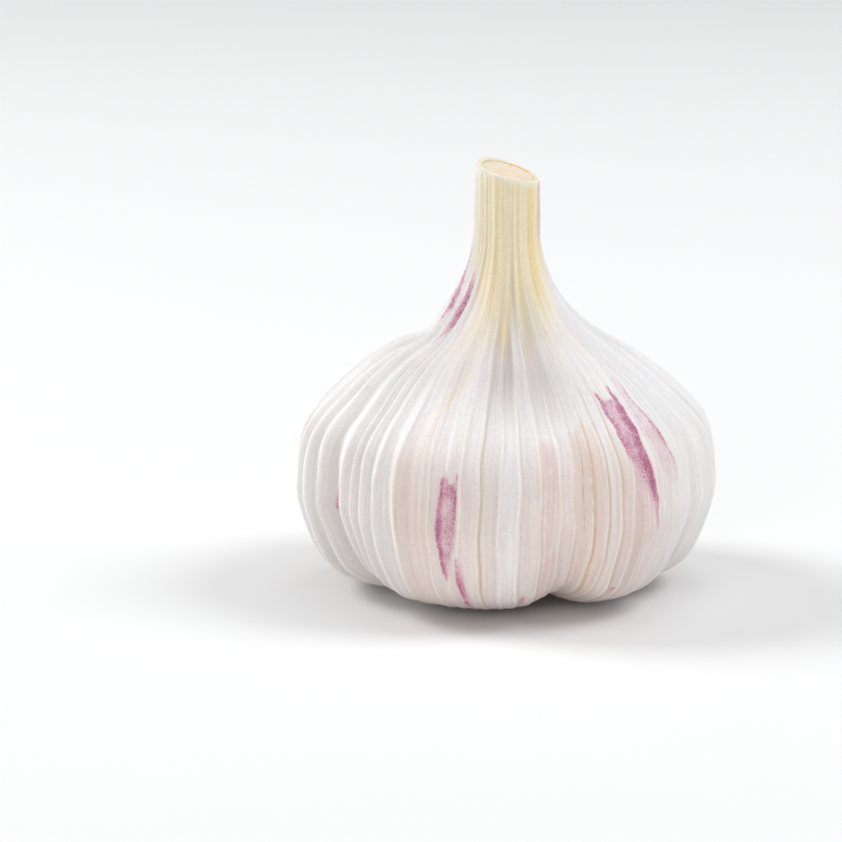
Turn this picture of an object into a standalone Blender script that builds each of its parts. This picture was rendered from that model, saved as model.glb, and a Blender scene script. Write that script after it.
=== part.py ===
"""A garlic bulb: papery skin over its cloves, a cut flower stalk in the neck, and the root plate below.

Metres, +Z up. The origin is the middle of the root plate's flat face, which lies on the surface.
Azimuths are in degrees: 0 faces -Y, the front, and they grow towards +X.
A share is a place along the skin's outline, from 0 at the root plate to 1 at the top of the neck.
"""

import math
import random

import bmesh
import bpy
import numpy as np
from mathutils import Matrix, Vector

MM = 0.001
SEED = 7

# Driving sizes, in millimetres
BULB_RADIUS = 29.8
WIDEST_HEIGHT = 17.4
SHOULDER_HEIGHT = 35.2
NECK_RADIUS = 4.5
NECK_HEIGHT = 49.5
CUT_HEIGHT = 61.0
DEPTH_SHARE = 0.975

# The slanting cut through the neck: how far it falls for each millimetre to the right and to the front
CUT_FALL_RIGHT = 0.28
CUT_FALL_FRONT = 0.12

# Stub of the flower stalk in the neck
STALK_RADIUS = 3.4
STALK_GAP = 0.3
STALK_DEPTH = 12.0
STALK_SUNK = 0.35
STALK_SIDES = 24

# Root plate
PLATE_FACE_RADIUS = 7.8
PLATE_TOP_RADIUS = 9.0
PLATE_HEIGHT = 2.8
PLATE_GAP = 0.3
PLATE_EDGE = 0.3
PLATE_SIDES = 48

# Clipped roots round the plate: the height of each row, and the size of one root
ROOT_ROWS = (0.75, 1.35, 1.95)
ROOTS_IN_ROW = 30
ROOT_RADIUS = 0.42
ROOT_LENGTH = 1.25
ROOT_PROUD = 0.55
ROOT_DROOP = math.radians(6)
ROOT_SIDES = 5

# Outline of the skin over the fattest part of a clove, as radius and height, carried on above the cut
OUTLINE = (
    (PLATE_TOP_RADIUS + 0.9, PLATE_HEIGHT + PLATE_GAP),
    (15.0, 0.9),
    (0.85 * BULB_RADIUS, 4.2),
    (BULB_RADIUS - 0.1, 13.6),
    (BULB_RADIUS, WIDEST_HEIGHT),
    (28.5, 24.1),
    (22.7, 30.7),
    (16.8, SHOULDER_HEIGHT),
    (10.7, SHOULDER_HEIGHT + 4.0),
    (7.0, 43.4),
    (NECK_RADIUS + 0.25, NECK_HEIGHT),
    (NECK_RADIUS, 56.0),
    (NECK_RADIUS, 66.0),
)

# The tables below hold one value for each of these shares:
# root plate, underside, heel, widest, flank, shoulder, collar, foot of the neck, top
STATIONS = (0.0, 0.10, 0.22, 0.35, 0.48, 0.58, 0.68, 0.80, 1.0)

# Clefts between neighbouring cloves: azimuth, then depth at the heel, at the flank and at the shoulder
CLEFTS = (
    (-56, 1.7, 0.7, 0.3),
    (20, 1.9, 0.4, 0.2),
    (67, 1.0, 0.6, 0.6),
    (118, 2.2, 1.2, 0.8),
    (160, 2.1, 1.0, 0.7),
    (198, 2.3, 1.2, 0.8),
    (234, 2.1, 0.9, 0.6),
)
CLEFT_WIDTH = 10.0
CLOVE_ROUNDING = (0.1, 0.7, 1.0, 1.0, 0.8, 0.5, 0.3, 0.1, 0.0)
CLOVE_CURVE = 2.2

# The skin has fallen in where the neck leaves the left shoulder: place and half-size, as azimuth and share
SLUMP_PLACE = (-100, 0.66)
SLUMP_SIZE = (45, 0.04)
SLUMP_DEPTH = 1.1

# Veins of the skin: those in front by azimuth, and how many more lie behind, unevenly spaced
FRONT_VEINS = (-80, -72, -64, -56, -50, -45, -38, -30, -22, -13, -3)
FRONT_VEINS += (7, 15, 24, 32, 38, 44, 50, 56, 63, 72, 82)
BACK_VEINS = 23
COLUMNS_EACH = 3
ROWS = 35
VEIN_HEIGHT = 0.26
VEIN_STATIONS = (0.5, 0.7, 0.9, 1.0, 1.0, 1.0, 0.9, 0.75, 0.5)

# Where the dry skin stands in deeper pleats along the veins: azimuth, half-width and added share of height
PLEATS = ((-72, 36, 1.6), (150, 45, 1.0), (95, 22, 0.5))
PLEAT_STATIONS = (0.2, 0.5, 0.8, 1.0, 1.0, 0.9, 0.8, 0.6, 0.2)

SKIN_COLOUR = (0.86, 0.82, 0.79)
STALK_COLOUR = (0.86, 0.72, 0.56)
PLATE_COLOUR = (0.62, 0.42, 0.25)


def clear_scene():
    for obj in list(bpy.data.objects):
        bpy.data.objects.remove(obj)


def paint(obj, colour, roughness):
    """Gives the object a plain Principled material of its own name."""
    material = bpy.data.materials.new(obj.name)
    material.use_nodes = True
    shader = material.node_tree.nodes["Principled BSDF"]
    shader.inputs["Base Color"].default_value = (*colour, 1)
    shader.inputs["Roughness"].default_value = roughness
    shader.inputs["Metallic"].default_value = 0.0
    material.diffuse_color = (*colour, 1)
    obj.data.materials.append(material)


def finished(name, bm, colour, roughness):
    """Turns a bmesh into a scene object with smooth shading and its own material."""
    bmesh.ops.recalc_face_normals(bm, faces=bm.faces)
    mesh = bpy.data.meshes.new(name)
    bm.to_mesh(mesh)
    bm.free()
    mesh.shade_smooth()
    mesh.set_sharp_from_angle(angle=math.radians(50))
    obj = bpy.data.objects.new(name, mesh)
    bpy.context.scene.collection.objects.link(obj)
    paint(obj, colour, roughness)
    return obj


def smooth_curve(points, steps_each=40):
    """A centripetal Catmull-Rom curve through the points, as many short straight steps."""
    known = np.array(points, float)
    known = np.vstack([2 * known[0] - known[1], known, 2 * known[-1] - known[-2]])
    pieces = []
    for a, b, c, d in zip(known, known[1:], known[2:], known[3:]):
        ta = 0.0
        tb = ta + np.linalg.norm(b - a) ** 0.5
        tc = tb + np.linalg.norm(c - b) ** 0.5
        td = tc + np.linalg.norm(d - c) ** 0.5
        t = np.linspace(tb, tc, steps_each, endpoint=False)[:, None]
        ab = ((tb - t) * a + (t - ta) * b) / (tb - ta)
        bc = ((tc - t) * b + (t - tb) * c) / (tc - tb)
        cd = ((td - t) * c + (t - tc) * d) / (td - tc)
        abc = ((tc - t) * ab + (t - ta) * bc) / (tc - ta)
        bcd = ((td - t) * bc + (t - tb) * cd) / (td - tb)
        pieces.append(((tc - t) * abc + (t - tb) * bcd) / (tc - tb))
    return np.vstack([*pieces, known[-2:-1]])


def outline_at(shares):
    """Radius, height, and the outward and upward parts of the outline's normal, at each share."""
    curve = smooth_curve(OUTLINE)
    reach = np.r_[0, np.cumsum(np.linalg.norm(np.diff(curve, axis=0), axis=1))]
    reach /= reach[-1]
    slope = np.gradient(curve, reach, axis=0)
    radius, height, along_r, along_z = (
        np.interp(shares, reach, values) for values in (*curve.T, *slope.T)
    )
    size = np.hypot(along_r, along_z)
    return radius, height, along_z / size, -along_r / size


def eased(shares, values):
    """Reads a table given at STATIONS, easing from each value to the next."""
    stations = np.array(STATIONS)
    values = np.array(values)
    index = np.clip(np.searchsorted(stations, shares, side="right") - 1, 0, len(stations) - 2)
    part = np.clip((shares - stations[index]) / (stations[index + 1] - stations[index]), 0, 1)
    part = part * part * (3 - 2 * part)
    return values[index] * (1 - part) + values[index + 1] * part


def bump(azimuths, place, width):
    """A smooth hill of height 1 at an azimuth, falling away to both sides."""
    turn = (azimuths - place + 180) % 360 - 180
    return np.exp(-((turn / width) ** 2))


def clove_relief(azimuths, shares):
    """The skin's offset from the outline: it dips between cloves, rounds over each and slumps at a side."""
    depth = np.zeros_like(shares)
    for place, heel, flank, shoulder in CLEFTS:
        depths = (0.2 * heel, 0.9 * heel, heel, (heel + flank) / 2, flank, shoulder, 0.4 * shoulder, 0, 0)
        depth += eased(shares, depths) * bump(azimuths, place, CLEFT_WIDTH)
    places = np.sort([cleft[0] % 360 for cleft in CLEFTS])
    places = np.r_[places[-1] - 360, places, places[0] + 360]
    index = np.searchsorted(places, azimuths % 360, side="right") - 1
    across = 2 * (azimuths % 360 - places[index]) / (places[index + 1] - places[index]) - 1
    depth += eased(shares, CLOVE_ROUNDING) * np.abs(across) ** CLOVE_CURVE
    along = np.exp(-(((shares - SLUMP_PLACE[1]) / SLUMP_SIZE[1]) ** 2))
    depth += SLUMP_DEPTH * along * bump(azimuths, SLUMP_PLACE[0], SLUMP_SIZE[0])
    return -depth


def vein_azimuths():
    """The azimuth of each vein in order, and the first again a turn later."""
    draw = random.Random(SEED)
    gaps = [draw.uniform(0.7, 1.3) for _ in range(BACK_VEINS + 1)]
    span = FRONT_VEINS[0] + 360 - FRONT_VEINS[-1]
    behind = FRONT_VEINS[-1] + np.cumsum(gaps) / sum(gaps) * span
    return np.r_[FRONT_VEINS, behind]


def vein_relief(azimuths, shares, veins):
    """Height of each vein's crest over the skin beside it."""
    draw = random.Random(SEED + 1)
    strengths = np.array([draw.uniform(0.6, 1.3) for _ in range(len(FRONT_VEINS) + BACK_VEINS)])
    pleat = sum(added * bump(azimuths, place, width) for place, width, added in PLEATS)
    rise = eased(shares, VEIN_STATIONS) + pleat * eased(shares, PLEAT_STATIONS)
    return VEIN_HEIGHT * strengths[veins] * rise


def cut_plane(sunk=0.0):
    """A point on the slanting cut through the neck, and the cut's upward normal."""
    normal = Vector((CUT_FALL_RIGHT, -CUT_FALL_FRONT, 1)).normalized()
    return Vector((0, 0, CUT_HEIGHT * MM)) - normal * sunk * MM, normal


def slice_top(bm, sunk=0.0):
    """Takes away what lies above the slanting cut, and returns the edges left round the opening."""
    place, normal = cut_plane(sunk)
    everything = [*bm.verts, *bm.edges, *bm.faces]
    sliced = bmesh.ops.bisect_plane(
        bm, geom=everything, dist=1e-7, plane_co=place, plane_no=normal, clear_outer=True
    )
    return [item for item in sliced["geom_cut"] if isinstance(item, bmesh.types.BMEdge)]


def spun_skin(columns):
    """The skin's outline and the walls of its two recesses, spun round the axis, and a layer of shares.

    The lower recess takes the root plate and the upper one the stalk. Their points have a share of -1.
    """
    bm = bmesh.new()
    layer = bm.verts.layers.float.new("share")
    shares = np.linspace(0, 1, ROWS)
    radii, heights, _, _ = outline_at(shares)
    hole = STALK_RADIUS + STALK_GAP
    floor = CUT_HEIGHT - STALK_DEPTH
    chain = [(0, heights[0], -1), *zip(radii, heights, shares)]
    chain += [(hole, heights[-1], -1), (hole, floor, -1), (0, floor, -1)]
    points = []
    for radius, height, share in chain:
        point = bm.verts.new((radius * MM, 0, height * MM))
        point[layer] = share
        points.append(point)
    lines = [bm.edges.new(pair) for pair in zip(points, points[1:])]
    bmesh.ops.spin(
        bm, geom=points + lines, cent=(0, 0, 0), axis=(0, 0, 1), angle=math.tau, steps=columns, use_merge=True
    )
    bmesh.ops.remove_doubles(bm, verts=bm.verts, dist=1e-7)
    return bm, layer


def raise_relief(bm, layer, columns):
    """Moves each point of the skin to its azimuth, and along the outline's normal by the relief there."""
    outside = [point for point in bm.verts if point[layer] >= 0]
    shares = np.array([point[layer] for point in outside], float)
    turns = np.array([math.atan2(point.co.x, -point.co.y) / math.tau for point in outside])
    veins, beside = np.divmod(np.round(turns * columns).astype(int) % columns, COLUMNS_EACH)
    places = vein_azimuths()
    azimuths = places[veins] + (places[veins + 1] - places[veins]) * beside / COLUMNS_EACH
    radius, height, out, up = outline_at(shares)
    offset = clove_relief(azimuths, shares)
    offset += np.where(beside == 0, vein_relief(azimuths, shares, veins), 0)
    radius += out * offset
    angles = np.radians(azimuths)
    x = radius * np.sin(angles)
    y = -radius * np.cos(angles) * DEPTH_SHARE
    z = height + up * offset
    for point, place in zip(outside, MM * np.stack([x, y, z], axis=1)):
        point.co = place


def build_skin():
    """The skin with its neck, whose rim is the ring of leaf bases that the cut shows."""
    columns = COLUMNS_EACH * (len(FRONT_VEINS) + BACK_VEINS)
    bm, layer = spun_skin(columns)
    raise_relief(bm, layer, columns)
    bmesh.ops.bridge_loops(bm, edges=slice_top(bm))
    return finished("bulb_skin", bm, SKIN_COLOUR, 0.5)


def build_stalk():
    """The flower stalk's stub, which fills the neck and shows as the core of the cut."""
    floor = CUT_HEIGHT - STALK_DEPTH + STALK_GAP
    length = STALK_DEPTH + NECK_RADIUS
    bm = bmesh.new()
    bmesh.ops.create_cone(
        bm,
        cap_ends=True,
        segments=STALK_SIDES,
        radius1=STALK_RADIUS * MM,
        radius2=STALK_RADIUS * MM,
        depth=length * MM,
        matrix=Matrix.Translation((0, 0, (floor + length / 2) * MM)),
    )
    bmesh.ops.contextual_create(bm, geom=slice_top(bm, STALK_SUNK))
    return finished("stalk_core", bm, STALK_COLOUR, 0.6)


def build_plate_disc():
    """The corky plate: a flat face below that widens upwards, with its lower rim taken off."""
    bm = bmesh.new()
    bmesh.ops.create_cone(
        bm,
        cap_ends=True,
        segments=PLATE_SIDES,
        radius1=PLATE_FACE_RADIUS * MM,
        radius2=PLATE_TOP_RADIUS * MM,
        depth=PLATE_HEIGHT * MM,
        matrix=Matrix.Translation((0, 0, PLATE_HEIGHT / 2 * MM)),
    )
    rim = [edge for edge in bm.edges if all(point.co.z < 1e-6 for point in edge.verts)]
    bmesh.ops.bevel(bm, geom=rim, offset=PLATE_EDGE * MM, segments=1, affect="EDGES")
    return finished("root_plate", bm, PLATE_COLOUR, 0.9)


def root_stub(azimuth, height, radius, length):
    """One clipped root that sticks out of the plate's side and droops a little."""
    bm = bmesh.new()
    bmesh.ops.create_cone(
        bm,
        cap_ends=True,
        segments=ROOT_SIDES,
        radius1=radius * MM,
        radius2=0.85 * radius * MM,
        depth=length * MM,
    )
    wall = PLATE_FACE_RADIUS + (PLATE_TOP_RADIUS - PLATE_FACE_RADIUS) * height / PLATE_HEIGHT
    place = (
        Matrix.Rotation(azimuth, 4, "Z")
        @ Matrix.Translation(((wall + ROOT_PROUD - length / 2) * MM, 0, height * MM))
        @ Matrix.Rotation(math.pi / 2 + ROOT_DROOP, 4, "Y")
    )
    bmesh.ops.transform(bm, matrix=place, verts=bm.verts)
    mesh = bpy.data.meshes.new("root_stub")
    bm.to_mesh(mesh)
    bm.free()
    return bpy.data.objects.new("root_stub", mesh)


def build_root_plate():
    """The plate with its rows of clipped roots, joined to its side by one union."""
    plate = build_plate_disc()
    draw = random.Random(SEED + 2)
    roots = bpy.data.collections.new("roots")
    bpy.context.scene.collection.children.link(roots)
    for row, height in enumerate(ROOT_ROWS):
        for number in range(ROOTS_IN_ROW):
            azimuth = math.tau * (number + row / 2 + draw.uniform(-0.2, 0.2)) / ROOTS_IN_ROW
            radius = ROOT_RADIUS * draw.uniform(0.8, 1.05)
            length = ROOT_LENGTH * draw.uniform(0.85, 1.0)
            roots.objects.link(root_stub(azimuth, height, radius, length))
    union = plate.modifiers.new("roots", "BOOLEAN")
    union.operation = "UNION"
    union.operand_type = "COLLECTION"
    union.collection = roots
    union.solver = "EXACT"
    graph = bpy.context.evaluated_depsgraph_get()
    joined = bpy.data.meshes.new_from_object(plate.evaluated_get(graph))
    plate.modifiers.clear()
    plate.data = joined
    for stub in list(roots.objects):
        bpy.data.objects.remove(stub)
    bpy.data.collections.remove(roots)
    return plate


def main():
    clear_scene()
    build_skin()
    build_stalk()
    build_root_plate()


main()
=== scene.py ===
import math
import random

import bpy
import numpy as np
from bpy.props import FloatProperty, FloatVectorProperty, IntProperty, PointerProperty
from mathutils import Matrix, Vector


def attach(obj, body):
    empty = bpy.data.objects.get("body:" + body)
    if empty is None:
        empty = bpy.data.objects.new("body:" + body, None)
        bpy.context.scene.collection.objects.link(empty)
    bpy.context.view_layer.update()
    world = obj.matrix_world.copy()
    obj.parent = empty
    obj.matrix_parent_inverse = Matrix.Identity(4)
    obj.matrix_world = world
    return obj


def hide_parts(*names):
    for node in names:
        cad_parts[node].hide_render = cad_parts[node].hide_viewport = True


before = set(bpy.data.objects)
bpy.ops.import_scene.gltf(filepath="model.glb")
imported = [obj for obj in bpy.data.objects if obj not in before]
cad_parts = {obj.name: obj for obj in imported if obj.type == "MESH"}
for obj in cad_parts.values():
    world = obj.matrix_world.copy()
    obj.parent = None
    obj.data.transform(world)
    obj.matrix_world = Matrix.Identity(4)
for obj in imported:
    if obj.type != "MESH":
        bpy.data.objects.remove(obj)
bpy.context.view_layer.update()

bl_info = {
    "name": "Garlic bulb",
    "version": (1, 0, 0),
    "blender": (4, 5, 0),
    "location": "3D View > Sidebar > Garlic",
    "description": "Builds a garlic bulb with papery skin, a cut stalk and a corky root plate",
    "category": "Add Mesh",
}

# Lengths are in millimetres, and MM turns them into metres when a mesh is made.
# Azimuths are in degrees: 0 faces -Y, the front, and they grow towards +X.
# A share is a place along the skin's outline, from 0 at the root plate to 1 above the cut.
MM = 0.001
SEED = 7

# The solids' own sizes
BULB_RADIUS = 29.8
WIDEST_HEIGHT = 17.4
SHOULDER_HEIGHT = 35.2
NECK_RADIUS = 4.5
NECK_HEIGHT = 49.5
CUT_HEIGHT = 61.0
DEPTH_SHARE = 0.975
CUT_FALL_RIGHT = 0.28
CUT_FALL_FRONT = 0.12
PLATE_FACE_RADIUS = 7.8
PLATE_TOP_RADIUS = 9.0
PLATE_HEIGHT = 2.8
LIP_RADIUS = PLATE_TOP_RADIUS + 0.9
CEILING_HEIGHT = PLATE_HEIGHT + 0.3
STALK_RADIUS = 3.6
HOLE_RADIUS = 3.64
CUT_NORMAL = np.array(Vector((CUT_FALL_RIGHT, -CUT_FALL_FRONT, 1)).normalized())

# Across the cut ring of the neck, from its outer edge to the hole: places as shares, and depths
RIM_SHARES = (0.06, 0.16, 0.3, 0.42, 0.5, 0.58, 0.72, 0.86, 0.96, 1.0)
RIM_DEPTHS = (-0.03, -0.01, 0.0, 0.02, 0.05, 0.02, 0.0, 0.01, 0.02, 0.06)

OUTLINE = (
    (LIP_RADIUS, CEILING_HEIGHT),
    (15.0, 0.9),
    (0.85 * BULB_RADIUS, 4.2),
    (BULB_RADIUS - 0.1, 13.6),
    (BULB_RADIUS, WIDEST_HEIGHT),
    (28.5, 24.1),
    (22.7, 30.7),
    (16.8, SHOULDER_HEIGHT),
    (10.7, SHOULDER_HEIGHT + 4.0),
    (7.0, 43.4),
    (NECK_RADIUS + 0.25, NECK_HEIGHT),
    (NECK_RADIUS, 56.0),
    (NECK_RADIUS, 66.0),
)

# The tables below hold one value for each of these shares:
# root plate, underside, heel, widest, flank, shoulder, collar, foot of the neck, top
STATIONS = (0.0, 0.10, 0.22, 0.35, 0.48, 0.58, 0.68, 0.80, 1.0)

# Clefts between cloves: azimuth, then depth at the heel, at the flank and at the shoulder
CLEFTS = (
    (-56, 1.7, 0.7, 0.3),
    (20, 1.9, 0.4, 0.2),
    (67, 1.0, 0.6, 0.6),
    (118, 2.2, 1.2, 0.8),
    (160, 2.1, 1.0, 0.7),
    (198, 2.3, 1.2, 0.8),
    (234, 2.1, 0.9, 0.6),
)
CLEFT_WIDTH = 10.0
CLOVE_ROUNDING = (0.1, 0.7, 1.0, 1.0, 0.8, 0.5, 0.3, 0.1, 0.0)
CLOVE_CURVE = 2.2

# Where the skin has fallen in at the left shoulder: place and half-size, as azimuth and share
SLUMP_PLACE = (-100, 0.66)
SLUMP_SIZE = (45, 0.04)
SLUMP_DEPTH = 1.1

# Main veins in front: azimuth, how far each stands out, for the skin from it to the next one the share
# of flush and how pink that is, and how strong the painted shadow, a tan line beside the vein, is. More veins
# lie behind.
FRONT_VEINS = (
    (-82, 1.0, 0.05, 0.5, 0.0), (-74, 1.0, 0.1, 0.5, 0.0), (-66, 1.1, 0.5, 0.5, 0.1),
    (-57, 1.0, 0.5, 0.5, 0.1), (-51, 1.1, 0.35, 0.5, 0.2), (-46, 0.9, 0.2, 0.5, 0.1),
    (-40, 1.0, 0.4, 0.6, 0.2), (-33, 0.9, 0.95, 0.4, 0.4), (-23, 0.7, 0.7, 0.4, 0.2),
    (-18, 0.6, 0.8, 0.8, 0.0), (-14, 0.8, 0.9, 0.7, 0.2), (-9, 0.8, 0.7, 0.2, 1.0),
    (-3, 0.8, 0.25, 0.4, 0.1), (2, 0.9, 0.75, 0.6, 0.7), (8, 1.0, 1.0, 0.65, 0.9),
    (14, 0.6, 0.65, 0.7, 0.2), (19, 0.9, 1.3, 0.35, 0.3), (24, 0.5, 1.15, 0.4, 0.6),
    (28, 0.9, 0.6, 0.15, 1.0), (32, 0.8, 0.95, 0.3, 0.9), (36, 0.9, 0.9, 0.7, 0.3),
    (41, 0.6, 0.7, 0.85, 0.1), (46, 0.9, 0.35, 0.6, 0.3), (52, 0.7, 0.3, 0.6, 0.2),
    (58, 0.9, 0.25, 0.5, 0.2), (65, 0.8, 0.2, 0.5, 0.1), (73, 0.8, 0.15, 0.5, 0.1),
    (82, 0.8, 0.2, 0.5, 0.1),
)
BACK_VEINS = 23
VEINS = len(FRONT_VEINS) + BACK_VEINS
VEIN_STATIONS = (0.5, 0.7, 0.9, 1.0, 1.0, 1.0, 0.9, 0.75, 0.5)
PLEATS = ((-72, 36, 1.6), (150, 45, 1.0), (95, 22, 0.5))
PLEAT_STATIONS = (0.2, 0.5, 0.8, 1.0, 1.0, 0.9, 0.8, 0.6, 0.2)

# The skin's grid: columns between two main veins, in front and behind, and rows on the body and on the neck
FRONT_COLUMNS = 16
BACK_COLUMNS = 12
BODY_ROWS = 92
NECK_ROWS = 24
NECK_SHARE = 0.78

# How far the veins spread towards the back as they climb to the neck, in degrees
VEIN_FAN = 9.0
VEIN_WOBBLE = 0.45

# Share of the way to the next vein in which the skin drops behind a vein
LAP = 0.12

# Torn places in the outer film that show the skin below: left and right azimuth, bottom and top height
WINDOWS = (
    (7, 15, 3.0, 28.0),
    (15, 29, 4.0, 29.3),
    (128, 150, 8.0, 26.0),
    (196, 214, 6.0, 30.0),
)
WINDOW_DEPTH = 0.07

# Purple streaks, from the top down. A row holds the height, the azimuths of the left and right edges,
# and the strength at the left edge, in the middle and at the right edge
STREAKS = (
    (
        (23.4, -18.4, -17.4, 0.3, 0.2, 0.2), (22.2, -19.2, -16.8, 0.8, 0.4, 0.5),
        (21.4, -19.4, -15.2, 0.9, 0.6, 0.8), (18.5, -19.6, -14.9, 0.9, 0.42, 1.0),
        (15.5, -19.9, -14.8, 1.15, 0.5, 0.65), (12.7, -20.0, -15.2, 1.15, 0.5, 0.3),
        (10.2, -19.7, -16.4, 1.1, 0.45, 0.15), (7.4, -18.7, -17.4, 0.8, 0.35, 0.1),
    ),
    (
        (23.3, -15.4, -14.6, 0.5, 0.5, 0.5), (21.5, -15.6, -14.6, 0.5, 0.6, 0.5),
    ),
    (
        (11.4, -15.4, -14.2, 0.5, 0.4, 0.2), (8.6, -15.6, -13.6, 1.0, 0.7, 0.4),
        (6.0, -15.2, -12.9, 1.0, 0.8, 0.5), (3.6, -14.4, -12.3, 0.9, 0.6, 0.3),
        (1.4, -13.5, -11.8, 0.8, 0.5, 0.2),
    ),
    (
        (32.5, 34.6, 35.6, 0.8, 0.5, 0.3), (31.6, 34.8, 36.6, 1.0, 0.6, 0.5),
        (30.9, 34.9, 42.6, 1.0, 0.55, 0.95), (28.6, 35.2, 42.9, 1.0, 0.52, 1.05),
        (26.6, 35.4, 42.6, 0.9, 0.58, 1.1), (24.9, 35.6, 42.6, 0.65, 0.6, 1.1),
        (23.4, 36.6, 42.8, 0.3, 0.55, 1.1), (21.4, 38.2, 43.3, 0.2, 0.5, 1.1),
        (18.5, 40.6, 44.0, 0.15, 0.4, 1.0), (15.2, 43.2, 44.2, 0.2, 0.4, 0.6),
        (13.0, 43.6, 44.4, 0.1, 0.2, 0.2),
    ),
    (
        (32.6, 41.0, 43.2, 0.4, 0.6, 0.9), (30.5, 40.2, 43.0, 0.6, 0.8, 1.0),
        (27.5, 39.6, 42.8, 0.7, 1.1, 1.2), (24.5, 39.2, 42.4, 0.7, 1.2, 1.3),
        (21.5, 40.8, 43.2, 0.7, 1.1, 1.2), (18.0, 42.8, 44.0, 0.5, 0.9, 1.0),
    ),
    (
        (24.0, 36.0, 42.0, 0.3, 0.3, 0.3), (18.0, 36.5, 43.0, 0.2, 0.25, 0.25),
        (11.0, 38.0, 43.0, 0.1, 0.15, 0.1),
    ),
    (
        (33.6, 45.6, 50.8, 0.1, 0.2, 0.4), (31.2, 43.8, 50.4, 0.15, 0.25, 0.6),
        (28.6, 43.6, 51.4, 0.2, 0.32, 0.75), (25.6, 44.4, 52.4, 0.2, 0.36, 0.75),
        (22.8, 46.3, 53.8, 0.15, 0.3, 0.65), (19.8, 49.0, 54.6, 0.1, 0.2, 0.4),
    ),
    (
        (52.0, -96.0, -84.0, 0.1, 0.2, 0.2), (47.5, -95.0, -78.0, 0.3, 0.5, 0.6),
        (44.5, -93.0, -73.0, 0.4, 0.6, 0.8), (42.2, -89.0, -71.0, 0.5, 0.65, 0.9),
        (40.6, -84.0, -70.0, 0.4, 0.55, 0.6), (39.2, -80.0, -73.0, 0.2, 0.4, 0.3),
        (37.4, -79.0, -74.0, 0.1, 0.25, 0.1),
    ),
    (
        (47.5, -70.0, -59.0, 0.1, 0.2, 0.2), (45.0, -69.0, -56.0, 0.3, 0.35, 0.5),
        (42.4, -68.0, -54.0, 0.3, 0.5, 0.7), (39.9, -66.0, -53.0, 0.3, 0.6, 0.6),
        (37.8, -63.0, -55.5, 0.2, 0.45, 0.3),
    ),
    (
        (59.5, 66.0, 78.0, 0.3, 0.3, 0.5), (55.0, 66.0, 78.0, 0.3, 0.35, 0.5),
        (50.0, 68.0, 76.0, 0.2, 0.2, 0.2),
    ),
    (
        (59.5, -84.0, -76.0, 0.3, 0.2, 0.1), (51.0, -84.0, -78.0, 0.3, 0.2, 0.1),
    ),
    (
        (35.2, -60.9, -59.3, 0.3, 0.4, 0.3), (33.6, -61.0, -59.6, 0.3, 0.3, 0.3),
    ),
    (
        (18.5, -59.9, -58.6, 0.5, 0.7, 0.5), (14.5, -60.1, -58.9, 0.7, 0.8, 0.5),
    ),
    (
        (4.6, 3.3, 4.8, 0.5, 0.7, 0.5), (3.0, 3.2, 4.6, 0.5, 0.6, 0.5),
    ),
    (
        (6.0, 12.0, 13.0, 0.3, 0.4, 0.3), (5.0, 12.0, 13.0, 0.3, 0.4, 0.3),
    ),
    (
        (5.0, 33.8, 35.2, 0.5, 0.7, 0.5), (3.6, 33.8, 35.0, 0.5, 0.6, 0.5),
    ),
    (
        (26.0, 142.0, 147.0, 0.7, 0.3, 0.4), (17.0, 141.0, 148.0, 1.0, 0.5, 0.6),
        (8.0, 143.0, 146.0, 0.5, 0.4, 0.3),
    ),
    (
        (33.0, 201.0, 206.0, 0.4, 0.3, 0.7), (24.0, 199.5, 208.0, 0.5, 0.5, 1.0),
        (15.0, 201.0, 207.0, 0.4, 0.5, 1.0), (9.0, 203.0, 205.0, 0.3, 0.4, 0.5),
    ),
    (
        (44.0, 170.0, 178.0, 0.5, 0.4, 0.4), (39.5, 172.0, 178.0, 0.9, 0.7, 0.5),
        (35.0, 174.0, 177.0, 0.4, 0.4, 0.3),
    ),
)

# Amber strokes in the skin, in the same form
AMBER_STROKES = (
    (
        (34.8, -21.0, -19.8, 0.4, 0.6, 0.4), (33.1, -22.6, -21.2, 0.9, 1.1, 0.9),
        (30.9, -24.6, -23.2, 0.8, 1.0, 0.8), (28.7, -26.2, -24.8, 0.5, 0.7, 0.5),
        (25.0, -27.0, -25.8, 0.2, 0.3, 0.2),
    ),
    (
        (36.0, -17.5, -16.3, 0.3, 0.5, 0.3), (34.2, -19.0, -17.8, 0.6, 0.8, 0.6),
        (32.4, -20.6, -19.4, 0.3, 0.5, 0.3),
    ),
    (
        (41.5, -5.2, -3.6, 0.3, 0.4, 0.3), (40.0, -4.9, -3.5, 0.9, 0.9, 0.9),
        (37.5, -3.8, -2.6, 0.8, 0.8, 0.8), (36.0, -3.2, -2.2, 0.2, 0.3, 0.2),
    ),
    (
        (39.0, -30.0, -16.0, 0.1, 0.2, 0.15), (30.0, -31.0, -20.0, 0.1, 0.2, 0.1),
    ),
    (
        (52.4, -27.0, -21.0, 0.4, 0.6, 0.4), (49.0, -27.0, -22.0, 0.4, 0.6, 0.4),
    ),
    (
        (41.0, -38.0, -26.0, 0.2, 0.4, 0.3), (37.0, -40.0, -30.0, 0.2, 0.3, 0.2),
    ),
)
STROKE_EDGE = 0.4

# The stalk and the root plate: points round them, and rings on the cut, on the face and on the side
STALK_COLUMNS = 96
STALK_RINGS = 26
PLATE_COLUMNS = 300
FACE_RINGS = 46
SIDE_RINGS = 16

# Clipped roots, the share of them that are fat beads, and dry fibres round the root plate
ROOT_STEPS = 5
ROOT_SIDES = 7
BEAD_SHARE = 0.17
FIBRES = 60
FIBRE_STEPS = 9
FIBRE_SIDES = 5


def colour_setting(name, description, default):
    """A colour that a user can change."""
    return FloatVectorProperty(
        name=name, description=description, default=default, min=0, max=1, subtype="COLOR"
    )


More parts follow.
